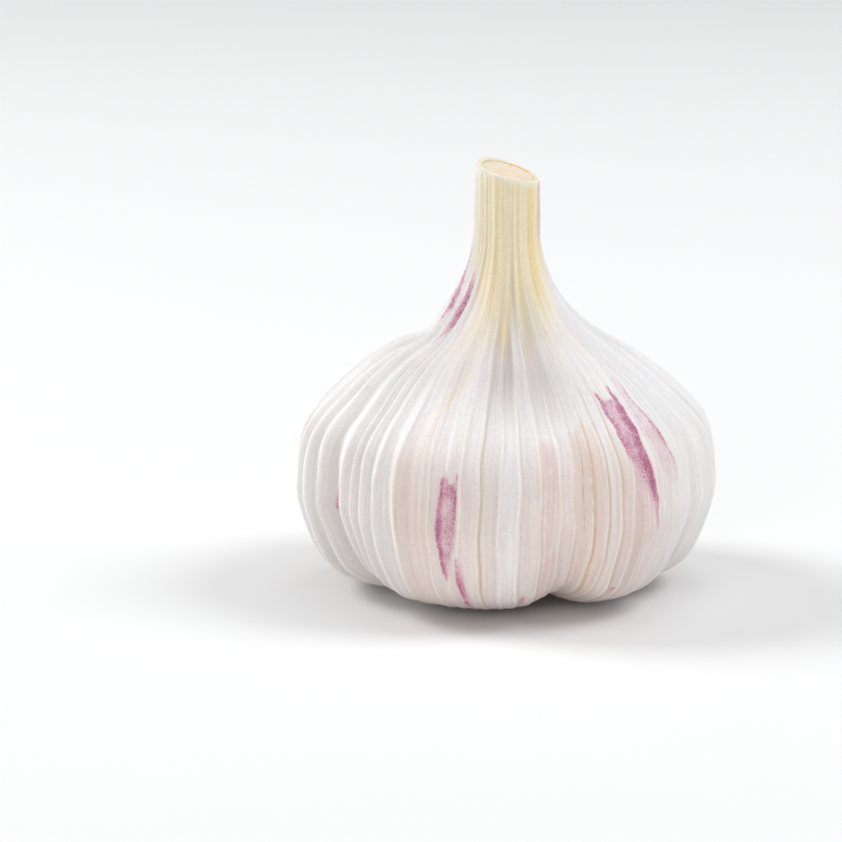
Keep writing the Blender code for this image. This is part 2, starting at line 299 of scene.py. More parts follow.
def length_setting(name, description, default, low, high):
    """A length that a user can change, in metres."""
    return FloatProperty(
        name=name, description=description, default=default, min=low, max=high, unit="LENGTH", precision=5
    )


class GarlicSkinSettings(bpy.types.PropertyGroup):
    """What a user would change on the papery skin."""

    vein_height: length_setting(
        "Vein height", "How far a usual vein stands out of the skin", 0.26 * MM, 0.0, 1.0 * MM
    )
    skin_colour: colour_setting("Skin", "Colour of the outer film", (0.89, 0.88, 0.885))
    flush_colour: colour_setting("Flush", "Beige of the skin below the film", (0.79, 0.61, 0.515))
    blush_colour: colour_setting("Blush", "Pink of the skin below the film", (0.78, 0.60, 0.605))
    vein_colour: colour_setting("Veins", "Cream of the veins", (0.91, 0.86, 0.76))
    neck_colour: colour_setting("Neck", "Creamy yellow of the neck", (0.93, 0.75, 0.43))
    streak_colour: colour_setting("Streaks", "Purple of the streaks", (0.52, 0.18, 0.30))


class GarlicCutSettings(bpy.types.PropertyGroup):
    """What a user would change on the cut stalk."""

    pith_colour: colour_setting("Pith", "Colour of the cut stalk", (0.82, 0.71, 0.57))
    sunk: length_setting(
        "Sunk", "How far the stalk lies under the rim of the neck", 0.12 * MM, 0.05 * MM, 1.0 * MM
    )


class GarlicRootSettings(bpy.types.PropertyGroup):
    """What a user would change on the root plate."""

    cork_colour: colour_setting("Cork", "Light tan of the dry plate", (0.80, 0.53, 0.30))
    pit_colour: colour_setting("Pits", "Brown of the pits and of the roots' feet", (0.38, 0.17, 0.06))
    root_count: IntProperty(
        name="Roots", description="Number of clipped roots round the plate", default=230, min=20, max=400
    )


class GarlicStageSettings(bpy.types.PropertyGroup):
    """What a user would change on the camera, the floor and the light."""

    elevation: FloatProperty(
        name="Elevation",
        description="How steeply the camera looks down",
        default=math.radians(13.5),
        min=0.0,
        max=math.radians(89),
        subtype="ANGLE",
    )
    distance: length_setting("Distance", "Distance from the camera to the bulb", 0.65, 0.2, 3.0)
    floor_colour: colour_setting("Floor", "Colour of the floor", (0.84, 0.84, 0.84))


# Numbers and curves

def smooth_curve(points, steps_each=40):
    """A centripetal Catmull-Rom curve through the points, as many short straight steps."""
    known = np.array(points, float)
    known = np.vstack([2 * known[0] - known[1], known, 2 * known[-1] - known[-2]])
    pieces = []
    for a, b, c, d in zip(known, known[1:], known[2:], known[3:]):
        ta = 0.0
        tb = ta + np.linalg.norm(b - a) ** 0.5
        tc = tb + np.linalg.norm(c - b) ** 0.5
        td = tc + np.linalg.norm(d - c) ** 0.5
        t = np.linspace(tb, tc, steps_each, endpoint=False)[:, None]
        ab = ((tb - t) * a + (t - ta) * b) / (tb - ta)
        bc = ((tc - t) * b + (t - tb) * c) / (tc - tb)
        cd = ((td - t) * c + (t - tc) * d) / (td - tc)
        abc = ((tc - t) * ab + (t - ta) * bc) / (tc - ta)
        bcd = ((td - t) * bc + (t - tb) * cd) / (td - tb)
        pieces.append(((tc - t) * abc + (t - tb) * bcd) / (tc - tb))
    return np.vstack([*pieces, known[-2:-1]])


def outline_at(shares):
    """Radius, height, and the outward and upward parts of the outline's normal, at each share."""
    curve = smooth_curve(OUTLINE)
    reach = np.r_[0, np.cumsum(np.linalg.norm(np.diff(curve, axis=0), axis=1))]
    reach /= reach[-1]
    slope = np.gradient(curve, reach, axis=0)
    radius, height, along_r, along_z = (
        np.interp(shares, reach, values) for values in (*curve.T, *slope.T)
    )
    size = np.hypot(along_r, along_z)
    return radius, height, along_z / size, -along_r / size


def ramp(values, low, high):
    """0 below low, 1 above high, and a smooth S between them. It falls instead where low is above high."""
    part = np.clip((values - low) / (high - low), 0, 1)
    return part * part * (3 - 2 * part)


def eased(shares, values):
    """Reads a table given at STATIONS, easing from each value to the next."""
    stations = np.array(STATIONS)
    values = np.array(values)
    index = np.clip(np.searchsorted(stations, shares, side="right") - 1, 0, len(stations) - 2)
    part = ramp(shares, stations[index], stations[index + 1])
    return values[index] * (1 - part) + values[index + 1] * part


def turn_from(azimuths, place):
    """The turn from a place to each azimuth, from -180 to 180 degrees."""
    return (azimuths - place + 180) % 360 - 180


def bump(azimuths, place, width):
    """A smooth hill of height 1 at an azimuth, falling away to both sides."""
    return np.exp(-((turn_from(azimuths, place) / width) ** 2))


def lattice(cells, seed):
    """A number from 0 to 1 for each cell of a lattice, mixed from its three whole numbers."""
    mixed = cells[..., 0] * 73856093 ^ cells[..., 1] * 19349663 ^ cells[..., 2] * 83492791 ^ seed * 40503
    mixed = (mixed ^ (mixed >> 13)) * 1274126177
    return ((mixed ^ (mixed >> 16)) & 0xFFFFFF) / 0xFFFFFF


def noise(points, cell, seed):
    """Smooth noise from -1 to 1: lattice numbers blended over cells of the given size."""
    scaled = np.asarray(points, float) / cell
    base = np.floor(scaled).astype(np.int64)
    part = scaled - base
    part = part * part * (3 - 2 * part)
    total = 0.0
    for corner in np.ndindex(2, 2, 2):
        weight = np.prod(np.where(corner, part, 1 - part), axis=-1)
        total = total + weight * lattice(base + np.array(corner), seed)
    return 2 * total - 1


def fractal(points, cell, seed, octaves=3):
    """Noise with finer noise on it, each layer half the size and half the height of the last."""
    layers = [noise(points, cell / 2**n, seed + n) / 2**n for n in range(octaves)]
    return sum(layers) / sum(1 / 2**n for n in range(octaves))


def turned(radius, angles, height, depth=1.0):
    """Points at a radius and a height, turned from the front by angles in radians. The depth scales y."""
    parts = np.broadcast_arrays(radius * np.sin(angles), -radius * np.cos(angles) * depth, height)
    return np.stack(parts, axis=-1)


def cut_plane(x, y):
    """Height of the slanting cut over a place."""
    return CUT_HEIGHT - CUT_FALL_RIGHT * x + CUT_FALL_FRONT * y


# Meshes

def grid_faces(rows, columns):
    """Quads of a grid whose last column meets its first, facing out for rows that climb."""
    row, column = np.mgrid[0 : rows - 1, 0:columns]
    after = (column + 1) % columns
    low, high = row * columns, (row + 1) * columns
    return np.stack([low + column, low + after, high + after, high + column], axis=-1).reshape(-1, 4)


def fan_faces(ring, pole, inward):
    """Triangles from a ring of points to a pole, wound so that they face away from the ring's inside."""
    after = np.roll(ring, -1)
    poles = np.full_like(ring, pole)
    return np.stack([ring, poles, after] if inward else [ring, after, poles], axis=-1)


def closed_rings(rows, low_pole, high_pole):
    """Points and faces of a surface through rings of points, closed by a pole at each end."""
    columns = rows.shape[1]
    count = len(rows) * columns
    first = np.arange(columns)
    last = np.arange(count - columns, count)
    faces = [grid_faces(len(rows), columns), fan_faces(first, count, True), fan_faces(last, count + 1, False)]
    return np.vstack([rows.reshape(-1, 3), low_pole, high_pole]), faces
def new_piece(name, points, faces, masks=None, vectors=None, smooth=True):
    """A mesh object in the scene from points in metres, lists of faces, and attributes for its material."""
    mesh = bpy.data.meshes.new(name)
    mesh.from_pydata(points.tolist(), [], [face for group in faces for face in group.tolist()])
    for key, values in (masks or {}).items():
        layer = mesh.attributes.new(key, "FLOAT", "POINT")
        layer.data.foreach_set("value", np.ascontiguousarray(values, np.float32).ravel())
    for key, values in (vectors or {}).items():
        layer = mesh.attributes.new(key, "FLOAT_VECTOR", "POINT")
        layer.data.foreach_set("vector", np.ascontiguousarray(values, np.float32).ravel())
    if smooth:
        mesh.shade_smooth()
    mesh.update()
    piece = bpy.data.objects.new(name, mesh)
    bpy.context.scene.collection.objects.link(piece)
    return piece


def settle(piece, material, slot, *nodes):
    """Gives a piece its material and its place in the frame."""
    piece.data.materials.append(material)
    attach(piece, "root")
    if nodes:
        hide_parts(*nodes)
    return piece


# Shape of the skin

def vein_azimuths():
    """The azimuth of each main vein in order, and the first again a turn later."""
    draw = random.Random(SEED)
    gaps = [draw.uniform(0.7, 1.3) for _ in range(BACK_VEINS + 1)]
    front = [row[0] for row in FRONT_VEINS]
    behind = front[-1] + np.cumsum(gaps) / sum(gaps) * (front[0] + 360 - front[-1])
    return np.r_[front, behind]


def vein_strengths():
    """How strongly each main vein stands out."""
    draw = random.Random(SEED + 1)
    return np.r_[[row[1] for row in FRONT_VEINS], [draw.uniform(0.6, 1.3) for _ in range(BACK_VEINS)]]


def clove_relief(azimuths, shares):
    """The skin's offset from the outline: it dips between cloves, rounds over each and slumps at a side."""
    depth = np.zeros(np.broadcast(azimuths, shares).shape)
    for place, heel, flank, shoulder in CLEFTS:
        depths = (0.2 * heel, 0.9 * heel, heel, (heel + flank) / 2, flank, shoulder, 0.4 * shoulder, 0, 0)
        depth += eased(shares, depths) * bump(azimuths, place, CLEFT_WIDTH)
    places = np.sort([cleft[0] % 360 for cleft in CLEFTS])
    places = np.r_[places[-1] - 360, places, places[0] + 360]
    index = np.searchsorted(places, azimuths % 360, side="right") - 1
    across = 2 * (azimuths % 360 - places[index]) / (places[index + 1] - places[index]) - 1
    depth += eased(shares, CLOVE_ROUNDING) * np.abs(across) ** CLOVE_CURVE
    along = np.exp(-(((shares - SLUMP_PLACE[1]) / SLUMP_SIZE[1]) ** 2))
    depth += SLUMP_DEPTH * along * bump(azimuths, SLUMP_PLACE[0], SLUMP_SIZE[0])
    return -depth


class SkinGrid:
    """The skin's grid before relief: a row for each share and a column for each azimuth.

    Each main vein has a column on its crest, and columns stand closer together near a crest:
    column t of an interval, from 0 to 1, lies at t - 0.08 sin(2 pi t) of the way to the next vein.
    """

    def __init__(self):
        counts = [FRONT_COLUMNS] * len(FRONT_VEINS) + [BACK_COLUMNS] * BACK_VEINS
        t = np.concatenate([np.arange(count) / count for count in counts])[None, :]
        crests = vein_azimuths()
        self.vein = np.repeat(np.arange(VEINS), counts)[None, :]
        self.next_vein = (self.vein + 1) % VEINS
        self.between = t - 0.08 * np.sin(math.tau * t)
        self.gap = np.diff(crests)[self.vein]
        straight = crests[self.vein] + self.gap * self.between
        self.columns = straight.shape[1]
        self.straight = straight
        top = self.share_at_cut(straight)
        body = np.linspace(0, NECK_SHARE, BODY_ROWS, endpoint=False)[:, None] + 0 * straight
        climb = np.linspace(0, 1, NECK_ROWS)[:, None]
        neck = NECK_SHARE + (top - NECK_SHARE) * climb
        self.share = np.vstack([body, neck])
        self.azimuth = straight + self.drift()
        self.radius, self.height, self.out, self.up = outline_at(self.share)

    def share_at_cut(self, azimuths):
        """The share at which the outline meets the slanting cut, from the plane's height there."""
        angles = np.radians(azimuths)
        height = cut_plane(NECK_RADIUS * np.sin(angles), -NECK_RADIUS * np.cos(angles))
        shares = np.linspace(NECK_SHARE, 1, 400)
        return np.interp(height, outline_at(shares)[1], shares)

    def drift(self):
        """How far each vein strays from its meridian: it fans out towards the back, and wavers."""
        climb = ramp(self.share, 0.5, 0.8)
        fan = VEIN_FAN * climb * np.sin(np.radians(self.straight))
        draw = np.random.default_rng(SEED)
        phases = draw.uniform(0, math.tau, (3, VEINS))
        wave = 0.0
        for phase, count in zip(phases, (2.0, 4.5, 9.0)):
            here = np.sin(count * math.tau * self.share + phase[self.vein]) / count**0.5
            there = np.sin(count * math.tau * self.share + phase[self.next_vein]) / count**0.5
            wave = wave + here * (1 - self.between) + there * self.between
        return fan + VEIN_WOBBLE * wave

    def distance(self):
        """Distance in mm along the surface from the nearest main vein, negative before it."""
        width = np.radians(self.gap) * self.radius
        return np.where(self.between < 0.5, self.between, self.between - 1) * width

    def fading(self, low, high):
        """1 near every second vein. The others fade from one share to another on their way up."""
        nearest = np.where(self.between < 0.5, self.vein, self.next_vein)
        return np.where(nearest % 2, ramp(self.share, high, low), 1.0)


def pleat_share(azimuths):
    """How deeply pleated the skin is at an azimuth, as added shares of the vein height."""
    return sum(added * bump(azimuths, place, width) for place, width, added in PLEATS)


def pleated(grid):
    """1 where pleats take the place of narrow veins, and 0 where they don't."""
    return ramp(pleat_share(grid.straight), 0.25, 0.9)


def between_veins(grid, values):
    """Blends a value given for each main vein from one vein to the next."""
    return values[grid.vein] * (1 - grid.between) + values[grid.next_vein] * grid.between


def fold_place(grid):
    """Where the fold between two pleats lies, as a share of the way from one vein to the next.

    It lies near the middle on the shoulder and closer to the next vein lower down.
    """
    stray = np.random.default_rng(SEED + 2).uniform(-0.12, 0.12, VEINS)[grid.vein]
    return 0.74 - 0.27 * ramp(grid.share, 0.3, 0.5) + stray


def pleat_wave(grid):
    """A wave with straight sides: 1 on each vein, down to 0 at the fold between two veins, and up again."""
    fold = fold_place(grid)
    return np.where(grid.between < fold, 1 - grid.between / fold, (grid.between - fold) / (1 - fold))


def vein_relief(grid, vein_height):
    """Height of the veins over the skin.

    Narrow veins are hills of exp(-(d/w)^2) over the distance d from the crest, and the skin climbs to each
    one from the vein before it, as leaf lies over leaf. Where the skin is pleated, the wave with straight
    sides takes their place. Every other vein fades on its way to the neck.
    """
    level = between_veins(grid, vein_strengths())
    soft = bump(grid.straight, 5, 38) * ramp(grid.share, 0.24, 0.34) * ramp(grid.share, 0.62, 0.5)
    narrow = (0.35 - 0.15 * soft) * np.exp(-((grid.distance() / 0.3) ** 2))
    lap = np.where(grid.between < LAP, 1 - grid.between / LAP, (grid.between - LAP) / (1 - LAP)) ** 1.5
    narrow = narrow + (0.55 - 0.2 * soft) * lap * ramp(grid.share, 0.72, 0.58)
    wave = pleat_wave(grid)
    wide = pleated(grid)
    usual = eased(grid.share, VEIN_STATIONS) * (narrow * (1 - wide) + wave * wide)
    deep = pleat_share(grid.straight) * eased(grid.share, PLEAT_STATIONS) * wave
    return vein_height * level * grid.fading(0.52, 0.7) * (usual + 1.5 * deep)


def fine_vein_relief(grid):
    """Up to three fine veins between each pair of main veins, as low narrow hills."""
    draw = np.random.default_rng(SEED + 3)
    height = 0.0
    crest = 0.0
    for _ in range(3):
        place = draw.uniform(0.15, 0.85, VEINS)
        strong = np.clip(draw.uniform(-0.8, 1.0, VEINS), 0, 1)[grid.vein]
        away = (grid.between - place[grid.vein]) * np.radians(grid.gap) * grid.radius
        hill = strong * np.exp(-((away / 0.24) ** 2))
        height = height + 0.06 * hill
        crest = np.maximum(crest, hill)
    calm = ramp(pleat_share(grid.straight), 0.9, 0.3) * ramp(grid.share, 0.66, 0.5)
    return height * calm, crest * calm


def window_rag(points):
    """How far the torn edge of a window strays, in mm."""
    broad = 1.3 * noise(points * (1, 1, 0.3), 3.2, 34)
    return broad + 0.6 * noise(points * (1, 1, 0.3), 1.1, 31) + 0.5 * noise(points * (1, 1, 0.5), 0.45, 32)


def window_mask(grid, points):
    """1 where the outer film is torn away: ragged along the top, and straight at the sides."""
    rag = window_rag(points)
    mask = np.zeros(grid.share.shape)
    for left, right, bottom, top in WINDOWS:
        middle, half = (left + right) / 2, (right - left) / 2
        aside = np.abs(turn_from(grid.azimuth, middle)) - half + 0.35 * rag
        across = ramp(aside, 0.5, -0.5)
        lower = ramp(grid.height, bottom - 3, bottom + 3)
        upper = ramp(grid.height - top + rag, 0.3, -0.3)
        mask = np.maximum(mask, across * lower * upper)
    return mask


def film_edge(grid, points):
    """1 along the torn upper edges of the windows, where the film ends in a thin white rim."""
    rag = window_rag(points)
    mask = np.zeros(grid.share.shape)
    for left, right, _, top in WINDOWS:
        aside = np.abs(turn_from(grid.azimuth, (left + right) / 2)) - (right - left) / 2
        rim = np.exp(-(((grid.height - top + rag - 0.35) / 0.4) ** 2))
        mask = np.maximum(mask, rim * ramp(aside, 0.3, -0.6))
    return mask


def stroke_mask(grid, strokes, points):
    """Strength of the strokes: between two edges that change with height, with each edge's own strength."""
    rag = 0.25 * noise(points * (1, 1, 0.4), 0.8, 33)
    mask = np.zeros(grid.share.shape)
    for rows in strokes:
        height, left, right, left_level, middle_level, right_level = np.array(rows[::-1]).T
        width = np.radians(np.interp(grid.height, height, right - left)) * grid.radius
        middle = np.interp(grid.height, height, (left + right) / 2)
        along = np.radians(turn_from(grid.azimuth, middle)) * grid.radius
        from_left = width / 2 + along + rag
        from_right = width / 2 - along + rag
        inside = ramp(from_left, -0.35, 0.2) * ramp(from_right, -0.35, 0.2)
        level = np.interp(grid.height, height, middle_level)
        beside_left = np.exp(-((from_left / STROKE_EDGE) ** 2))
        beside_right = np.exp(-((from_right / STROKE_EDGE) ** 2))
        level = level + (np.interp(grid.height, height, left_level) - level) * beside_left
        level = level + (np.interp(grid.height, height, right_level) - level) * beside_right
        top = ramp(grid.height, height[-1] + 0.5, height[-1] - 0.2)
        ends = ramp(grid.height, height[0] - 0.9, height[0] + 0.3) * top
        mask = np.maximum(mask, inside * ends * level)
    return mask


def skin_points(grid, offset):
    """Points of the grid moved off the outline along its normal by the offset, in mm."""
    radius = grid.radius + grid.out * offset
    return turned(radius, np.radians(grid.azimuth), grid.height + grid.up * offset, DEPTH_SHARE)


def rim_rows(edge):
    """Rows from the neck's cut edge over the cut ring of leaf bases and down into the hole.

    The ring lies in the cut's plane, with its edges rounded off and grooves between the leaf bases.
    """
    inner = turned(HOLE_RADIUS, np.arctan2(edge[:, 0], -edge[:, 1]), 0.0)
    inner[:, 2] = cut_plane(inner[:, 0], inner[:, 1])
    rows = []
    for share, depth in zip(RIM_SHARES, RIM_DEPTHS):
        row = edge * (1 - share) + inner * share
        wear = 0.05 * noise(row, 0.5, 41) + 0.04 * noise(row, 0.2, 42)
        rows.append(row - CUT_NORMAL * (depth + 0.04 + wear)[:, None])
    for sink in (0.8, 2.5, 6.0):
        rows.append(rows[-1] * (1, 1, 0) + (inner - CUT_NORMAL * sink) * (0, 0, 1))
    return np.array(rows)


def recess_rows(lip):
    """Rows from the middle of the recess over the root plate, out to the skin's lip."""
    rises = ((0.35, 0.1), (0.7, 0.08), (0.9, 0.05))
    return np.array([lip * (share, share, 0) + (0, 0, CEILING_HEIGHT + rise) for share, rise in rises])


def skin_relief(grid, smooth, window, vein_height):
    """The skin's offset from its outline: cloves, veins worn off at the cut, windows and unevenness."""
    worn = 1 - 0.85 * ramp(grid.height, grid.height[-1] - 1.4, grid.height[-1] - 0.2)
    calm = ramp(grid.share, 0.0, 0.06) * ramp(grid.share, 0.98, 0.7)
    offset = clove_relief(grid.azimuth, grid.share) + worn * vein_relief(grid, vein_height)
    offset = offset + fine_vein_relief(grid)[0] - WINDOW_DEPTH * window
    offset = offset + 0.16 * calm * fractal(smooth * (1, 1, 0.5), 7.0, 51)
    return offset + 0.035 * calm * fractal(smooth * (1, 1, 0.4), 1.6, 52)


def cut_masks(grid, rows, rim):
    """Masks of the cut ring: where it is, the place across it, and its yellow crescent at the back."""
    before = np.zeros(rows - rim)
    across = np.r_[np.repeat(np.r_[before, RIM_SHARES, np.ones(rim - len(RIM_SHARES))], grid.columns), 0, 1]
    return {
        "across": across,
        "crescent": across * np.r_[np.tile(bump(grid.straight[0], 150, 45), rows), 0, 0],
        "cut": np.r_[np.repeat(np.r_[before, np.ones(rim)], grid.columns), 0, 1],
    }


def build_skin(settings):
    """The papery skin with its neck, as one closed surface over a grid of azimuths and shares."""
    grid = SkinGrid()
    smooth = skin_points(grid, clove_relief(grid.azimuth, grid.share))
    window = window_mask(grid, smooth)
    surface = skin_points(grid, skin_relief(grid, smooth, window, settings.vein_height / MM))
    rim = rim_rows(surface[-1])
    recess = recess_rows(surface[0])
    rows = np.concatenate([recess, surface, rim])
    points, faces = closed_rings(rows, (0, 0, CEILING_HEIGHT + 0.1), (0, 0, rim[-1, :, 2].mean()))
    masks = {
        key: carried_on(np.broadcast_to(values, grid.share.shape), len(recess), len(rim))
        for key, values in skin_masks(grid, surface, window, fine_vein_relief(grid)[1]).items()
    }
    masks.update(cut_masks(grid, len(rows), len(rim)))
    grain = carried_on(grain_points(grid), len(recess), len(rim))
    piece = new_piece("papery_skin", points * MM, faces, masks, {"grain": grain})
    return settle(piece, skin_material(settings), "papery_skin", "bulb_skin")


def carried_on(values, before, after):
    """Values over the skin's rows, carried on over the recess and the rim, and over the two poles."""
    below = np.repeat(values[:1], before, axis=0)
    above = np.repeat(values[-1:], after, axis=0)
    rows = np.concatenate([below, values, above])
    poles = np.stack([rows[0].mean(axis=0), rows[-1].mean(axis=0)])
    return np.concatenate([rows.reshape(-1, *values.shape[2:]), poles])


def grain_points(grid):
    """Coordinates that run with the veins, with no seam: a column's direction, and the place along it."""
    angles = np.radians(grid.straight + 0 * grid.share)
    return np.stack([BULB_RADIUS * np.cos(angles), BULB_RADIUS * np.sin(angles), 90 * grid.share], axis=-1)


def neck_cream(grid):
    """How creamy the neck is: only in front where it flares out, and nearly all round higher up."""
    aside = turn_from(grid.azimuth, 6)
    reach = 58 + 52 * ramp(grid.share, 0.66, 0.86)
    front = ramp(np.abs(aside), reach, reach - 55) * (1 - 0.45 * ramp(aside, -35, -75))
    behind = 0.7 * bump(grid.azimuth, 150, 30) + 0.6 * bump(grid.azimuth, 222, 26)
    return np.maximum(front, behind)


def plate_tint(grid):
    """Purple streaks that run out from the root plate over the skin, strongest in the clefts."""
    around = grain_points(grid) * (1, 1, 0.1)
    near = ramp(grid.share, 0.11 + 0.05 * noise(around, 2.5, 65), 0.01)
    clefts = sum(bump(grid.azimuth, cleft[0], 14) for cleft in CLEFTS)
    broken = 1.2 * noise(around, 5.0, 63)
    return near * np.clip(0.8 * clefts - 0.1 + broken + 0.6 * noise(around, 1.7, 66), 0, 1)


def film_clouds(grid, points):
    """Where the outer film is whiter: in clouds, more of them towards the shoulder."""
    clouds = ramp(fractal(points * (1, 1, 0.7), 5.5, 64, 4), -0.2, 0.5)
    high = ramp(grid.share, 0.38, 0.52)
    return (clouds * (0.25 + 0.45 * high) + 0.2 * high) * ramp(grid.share, 0.66, 0.56)


def front_and_back(column, draw, low, high):
    """A column of the front veins' table, and random values for the veins behind."""
    return np.r_[[row[column] for row in FRONT_VEINS], draw.uniform(low, high, BACK_VEINS)]


def skin_masks(grid, points, window, fine_crest):
    """Where each colour of the skin lies, from 0 to 1."""
    draw = np.random.default_rng(SEED + 5)
    flushes = front_and_back(2, draw, 0.1, 0.9)[grid.vein]
    blushes = front_and_back(3, draw, 0.1, 0.9)[grid.vein]
    shift = draw.uniform(-0.045, 0.03, VEINS)[grid.vein]
    dull = draw.uniform(0.65, 1.0, VEINS)[grid.vein]
    vein_shadow_levels = front_and_back(4, draw, 0.0, 0.3)[grid.vein]
    cloud = 0.5 + 0.5 * fractal(points, 9.0, 61)
    flush = flushes * ramp(grid.share, 0.54, 0.36) * (0.7 + 0.5 * cloud)
    # The collar's darkening is painted shade, partly the skin's own duller tone
    collar_tone_and_shade = ramp(grid.share, 0.46, 0.6) * ramp(grid.share + shift, 0.84, 0.66)
    # Strongest in front, with a weaker painted shade on the left shoulder
    collar_turn = bump(grid.azimuth, 2, 30) + 0.35 * bump(grid.azimuth, -42, 24)
    return {
        **pleat_masks(grid),
        "flush": np.clip(flush + 0.35 * window * flushes, 0, 1.3),
        "blush": blushes + 0.5 * (cloud - 0.5),
        "vein": np.clip(np.maximum(crest_mask(grid), 0.6 * fine_crest), 0, 1),
        # Painted shadow: a thin tan line just after each vein, on its right
        "vein_shadow": vein_shadow_levels * np.exp(-(((grid.distance() - 0.38) / 0.18) ** 2)) * ramp(grid.share, 0.62, 0.48),
        "film": film_clouds(grid, points),
        "wrinkles": bump(grid.azimuth, 7, 13) * ramp(grid.height, 6, 12) * ramp(grid.height, 30, 24),
        "neck": ramp(grid.share + shift, 0.59, 0.77) * neck_cream(grid),
        "collar_tone_and_shade": dull * collar_tone_and_shade * collar_turn,
        # Painted shade towards the root plate, weaker on the left
        "foot": ramp(grid.share, 0.27, 0.14) * (1 - 0.5 * bump(grid.azimuth, -78, 28)),
        "purple": stroke_mask(grid, STREAKS, points),
        "amber": stroke_mask(grid, AMBER_STROKES, points),
        "film_edge": film_edge(grid, points),
        "rim": ramp(grid.height, grid.height[-1] - 1.3, grid.height[-1] - 0.1),
        "plate_tint": plate_tint(grid),
    }


def crest_mask(grid):
    """1 on the crests of the main veins, wider where the skin is pleated, where the white crest is partly
    painted highlight.
    """
    width = 0.26 + 0.2 * pleated(grid)
    return np.exp(-((grid.distance() / width) ** 2)) * grid.fading(0.52, 0.66)


def pleat_masks(grid):
    """Painted shade on the falling sides of the pleats, darker towards the fold, and a pale painted highlight
    on the rising sides and on the neck's left side.
    """
    pleat = pleated(grid)
    fold = fold_place(grid)
    falling = (0.3 + 0.7 * grid.between / fold) * ramp(grid.between, 0.02, 0.14)
    falling = falling * ramp(grid.between, fold + 0.06, fold - 0.02)
    fade = (1 - 0.5 * ramp(grid.share, 0.38, 0.52)) * ramp(grid.share, 0.72, 0.58)
    rising = pleat * ramp(grid.between, fold, fold + 0.1)
    rising = rising * ramp(grid.share, 0.1, 0.25) * ramp(grid.share, 0.62, 0.5)
    # Painted highlight on the neck's left side
    neck_side_highlight = bump(grid.azimuth, -70, 36) * ramp(grid.share, 0.66, 0.78)
    return {
        "valley_shade": pleat * falling * ramp(grid.share, 0.08, 0.2) * fade,
        "painted_highlight": np.maximum(rising, 0.8 * neck_side_highlight),
    }


# Shape of the cut stalk

def build_stalk(settings):
    """The stalk's stub: rings of points from the middle of the cut out to its edge, and down the side."""
    angles = np.arange(STALK_COLUMNS) / STALK_COLUMNS * math.tau
    sunk = settings.sunk / MM
    shares = np.r_[np.linspace(0.04, 0.94, STALK_RINGS), 0.975, 0.995][:, None]
    rounding = np.r_[np.zeros(STALK_RINGS), 0.01, 0.04][:, None]
    wave = 1.006 + 0.003 * np.sin(5 * angles + 1)
    points = turned(STALK_RADIUS * shares * wave, angles, 0.0)
    points[..., 2] = cut_plane(points[..., 0], points[..., 1])
    rough = 0.08 * fractal(points, 1.1, 71) + 0.05 * noise(points, 0.35, 72)
    lean = 0.04 * points[..., 1] / STALK_RADIUS
    cut = points - CUT_NORMAL * (sunk + rounding + rough + lean)[..., None]
    side = [cut[-1] - (0, 0, drop) for drop in (0.4, 1.2, 4.0, 10.0)]
    rows = np.concatenate([cut, side])[::-1]
    points, faces = closed_rings(rows, (0, 0, rows[0, :, 2].mean()), (0, 0, CUT_HEIGHT - sunk))
    piece = new_piece("stalk_pith", points * MM, faces)
    return settle(piece, pith_material(settings), "cut_stalk", "stalk_core")


# Shape of the root plate

def build_plate(settings):
    """The corky plate: rings of points from the middle of its face out, up its side and over its top.

    Its face is flat where it rests, and pits are sunk into it. The side is rough.
    """
    angles = np.arange(PLATE_COLUMNS) / PLATE_COLUMNS * math.tau
    face = np.linspace(0.02, 0.985, FACE_RINGS) * PLATE_FACE_RADIUS
    climb = np.linspace(0, 1, SIDE_RINGS)
    radii = np.r_[face, PLATE_FACE_RADIUS + (PLATE_TOP_RADIUS - PLATE_FACE_RADIUS) * climb, 7.0, 3.0][:, None]
    heights = np.r_[np.zeros(FACE_RINGS), 0.12 + (PLATE_HEIGHT - 0.12) * climb, PLATE_HEIGHT, PLATE_HEIGHT]
    wave = 1 + 0.015 * np.sin(3 * angles + 0.5) + 0.012 * np.sin(7 * angles + 2)
    points = turned(radii * wave, angles, heights[:, None])
    on_face = np.r_[np.ones(FACE_RINGS), np.zeros(SIDE_RINGS + 2)][:, None]
    on_side = np.r_[np.zeros(FACE_RINGS), np.ones(SIDE_RINGS), 0, 0][:, None]
    flat = points * (1, 1, 0)
    lumps = 0.5 + 0.5 * fractal(flat, 0.6, 81, 2)
    pits = np.clip(noise(flat, 0.42, 87) - 0.15, 0, 1)
    grooves = np.clip(0.5 - 3 * np.abs(noise(flat, 2.2, 82)), 0, 1)
    edge = ramp(radii, 0.8 * PLATE_FACE_RADIUS, PLATE_FACE_RADIUS)
    depth = 0.28 * lumps + 0.45 * pits + 0.2 * grooves + 0.35 * edge * (0.5 + 0.5 * fractal(flat, 1.1, 83))
    points[..., 2] += depth * on_face
    rough = 1 + on_side * (0.04 * fractal(points, 0.8, 84) + 0.025 * noise(points, 0.3, 85))
    points[..., :2] *= rough[..., None]
    crumb = on_side * (0.65 + 0.5 * fractal(points, 0.7, 86)) + 0.6 * on_face * edge
    pit = crumb + on_face * (0.9 * pits + 0.35 * lumps + 0.25 * grooves)
    whole, faces = closed_rings(points, (0, 0, points[0, :, 2].mean()), (0, 0, PLATE_HEIGHT))
    piece = new_piece("root_cork", whole * MM, faces, {"pit": np.clip(np.r_[pit.ravel(), 0, 0], 0, 1)})
    return settle(piece, cork_material(settings), "root_cork", "root_plate")


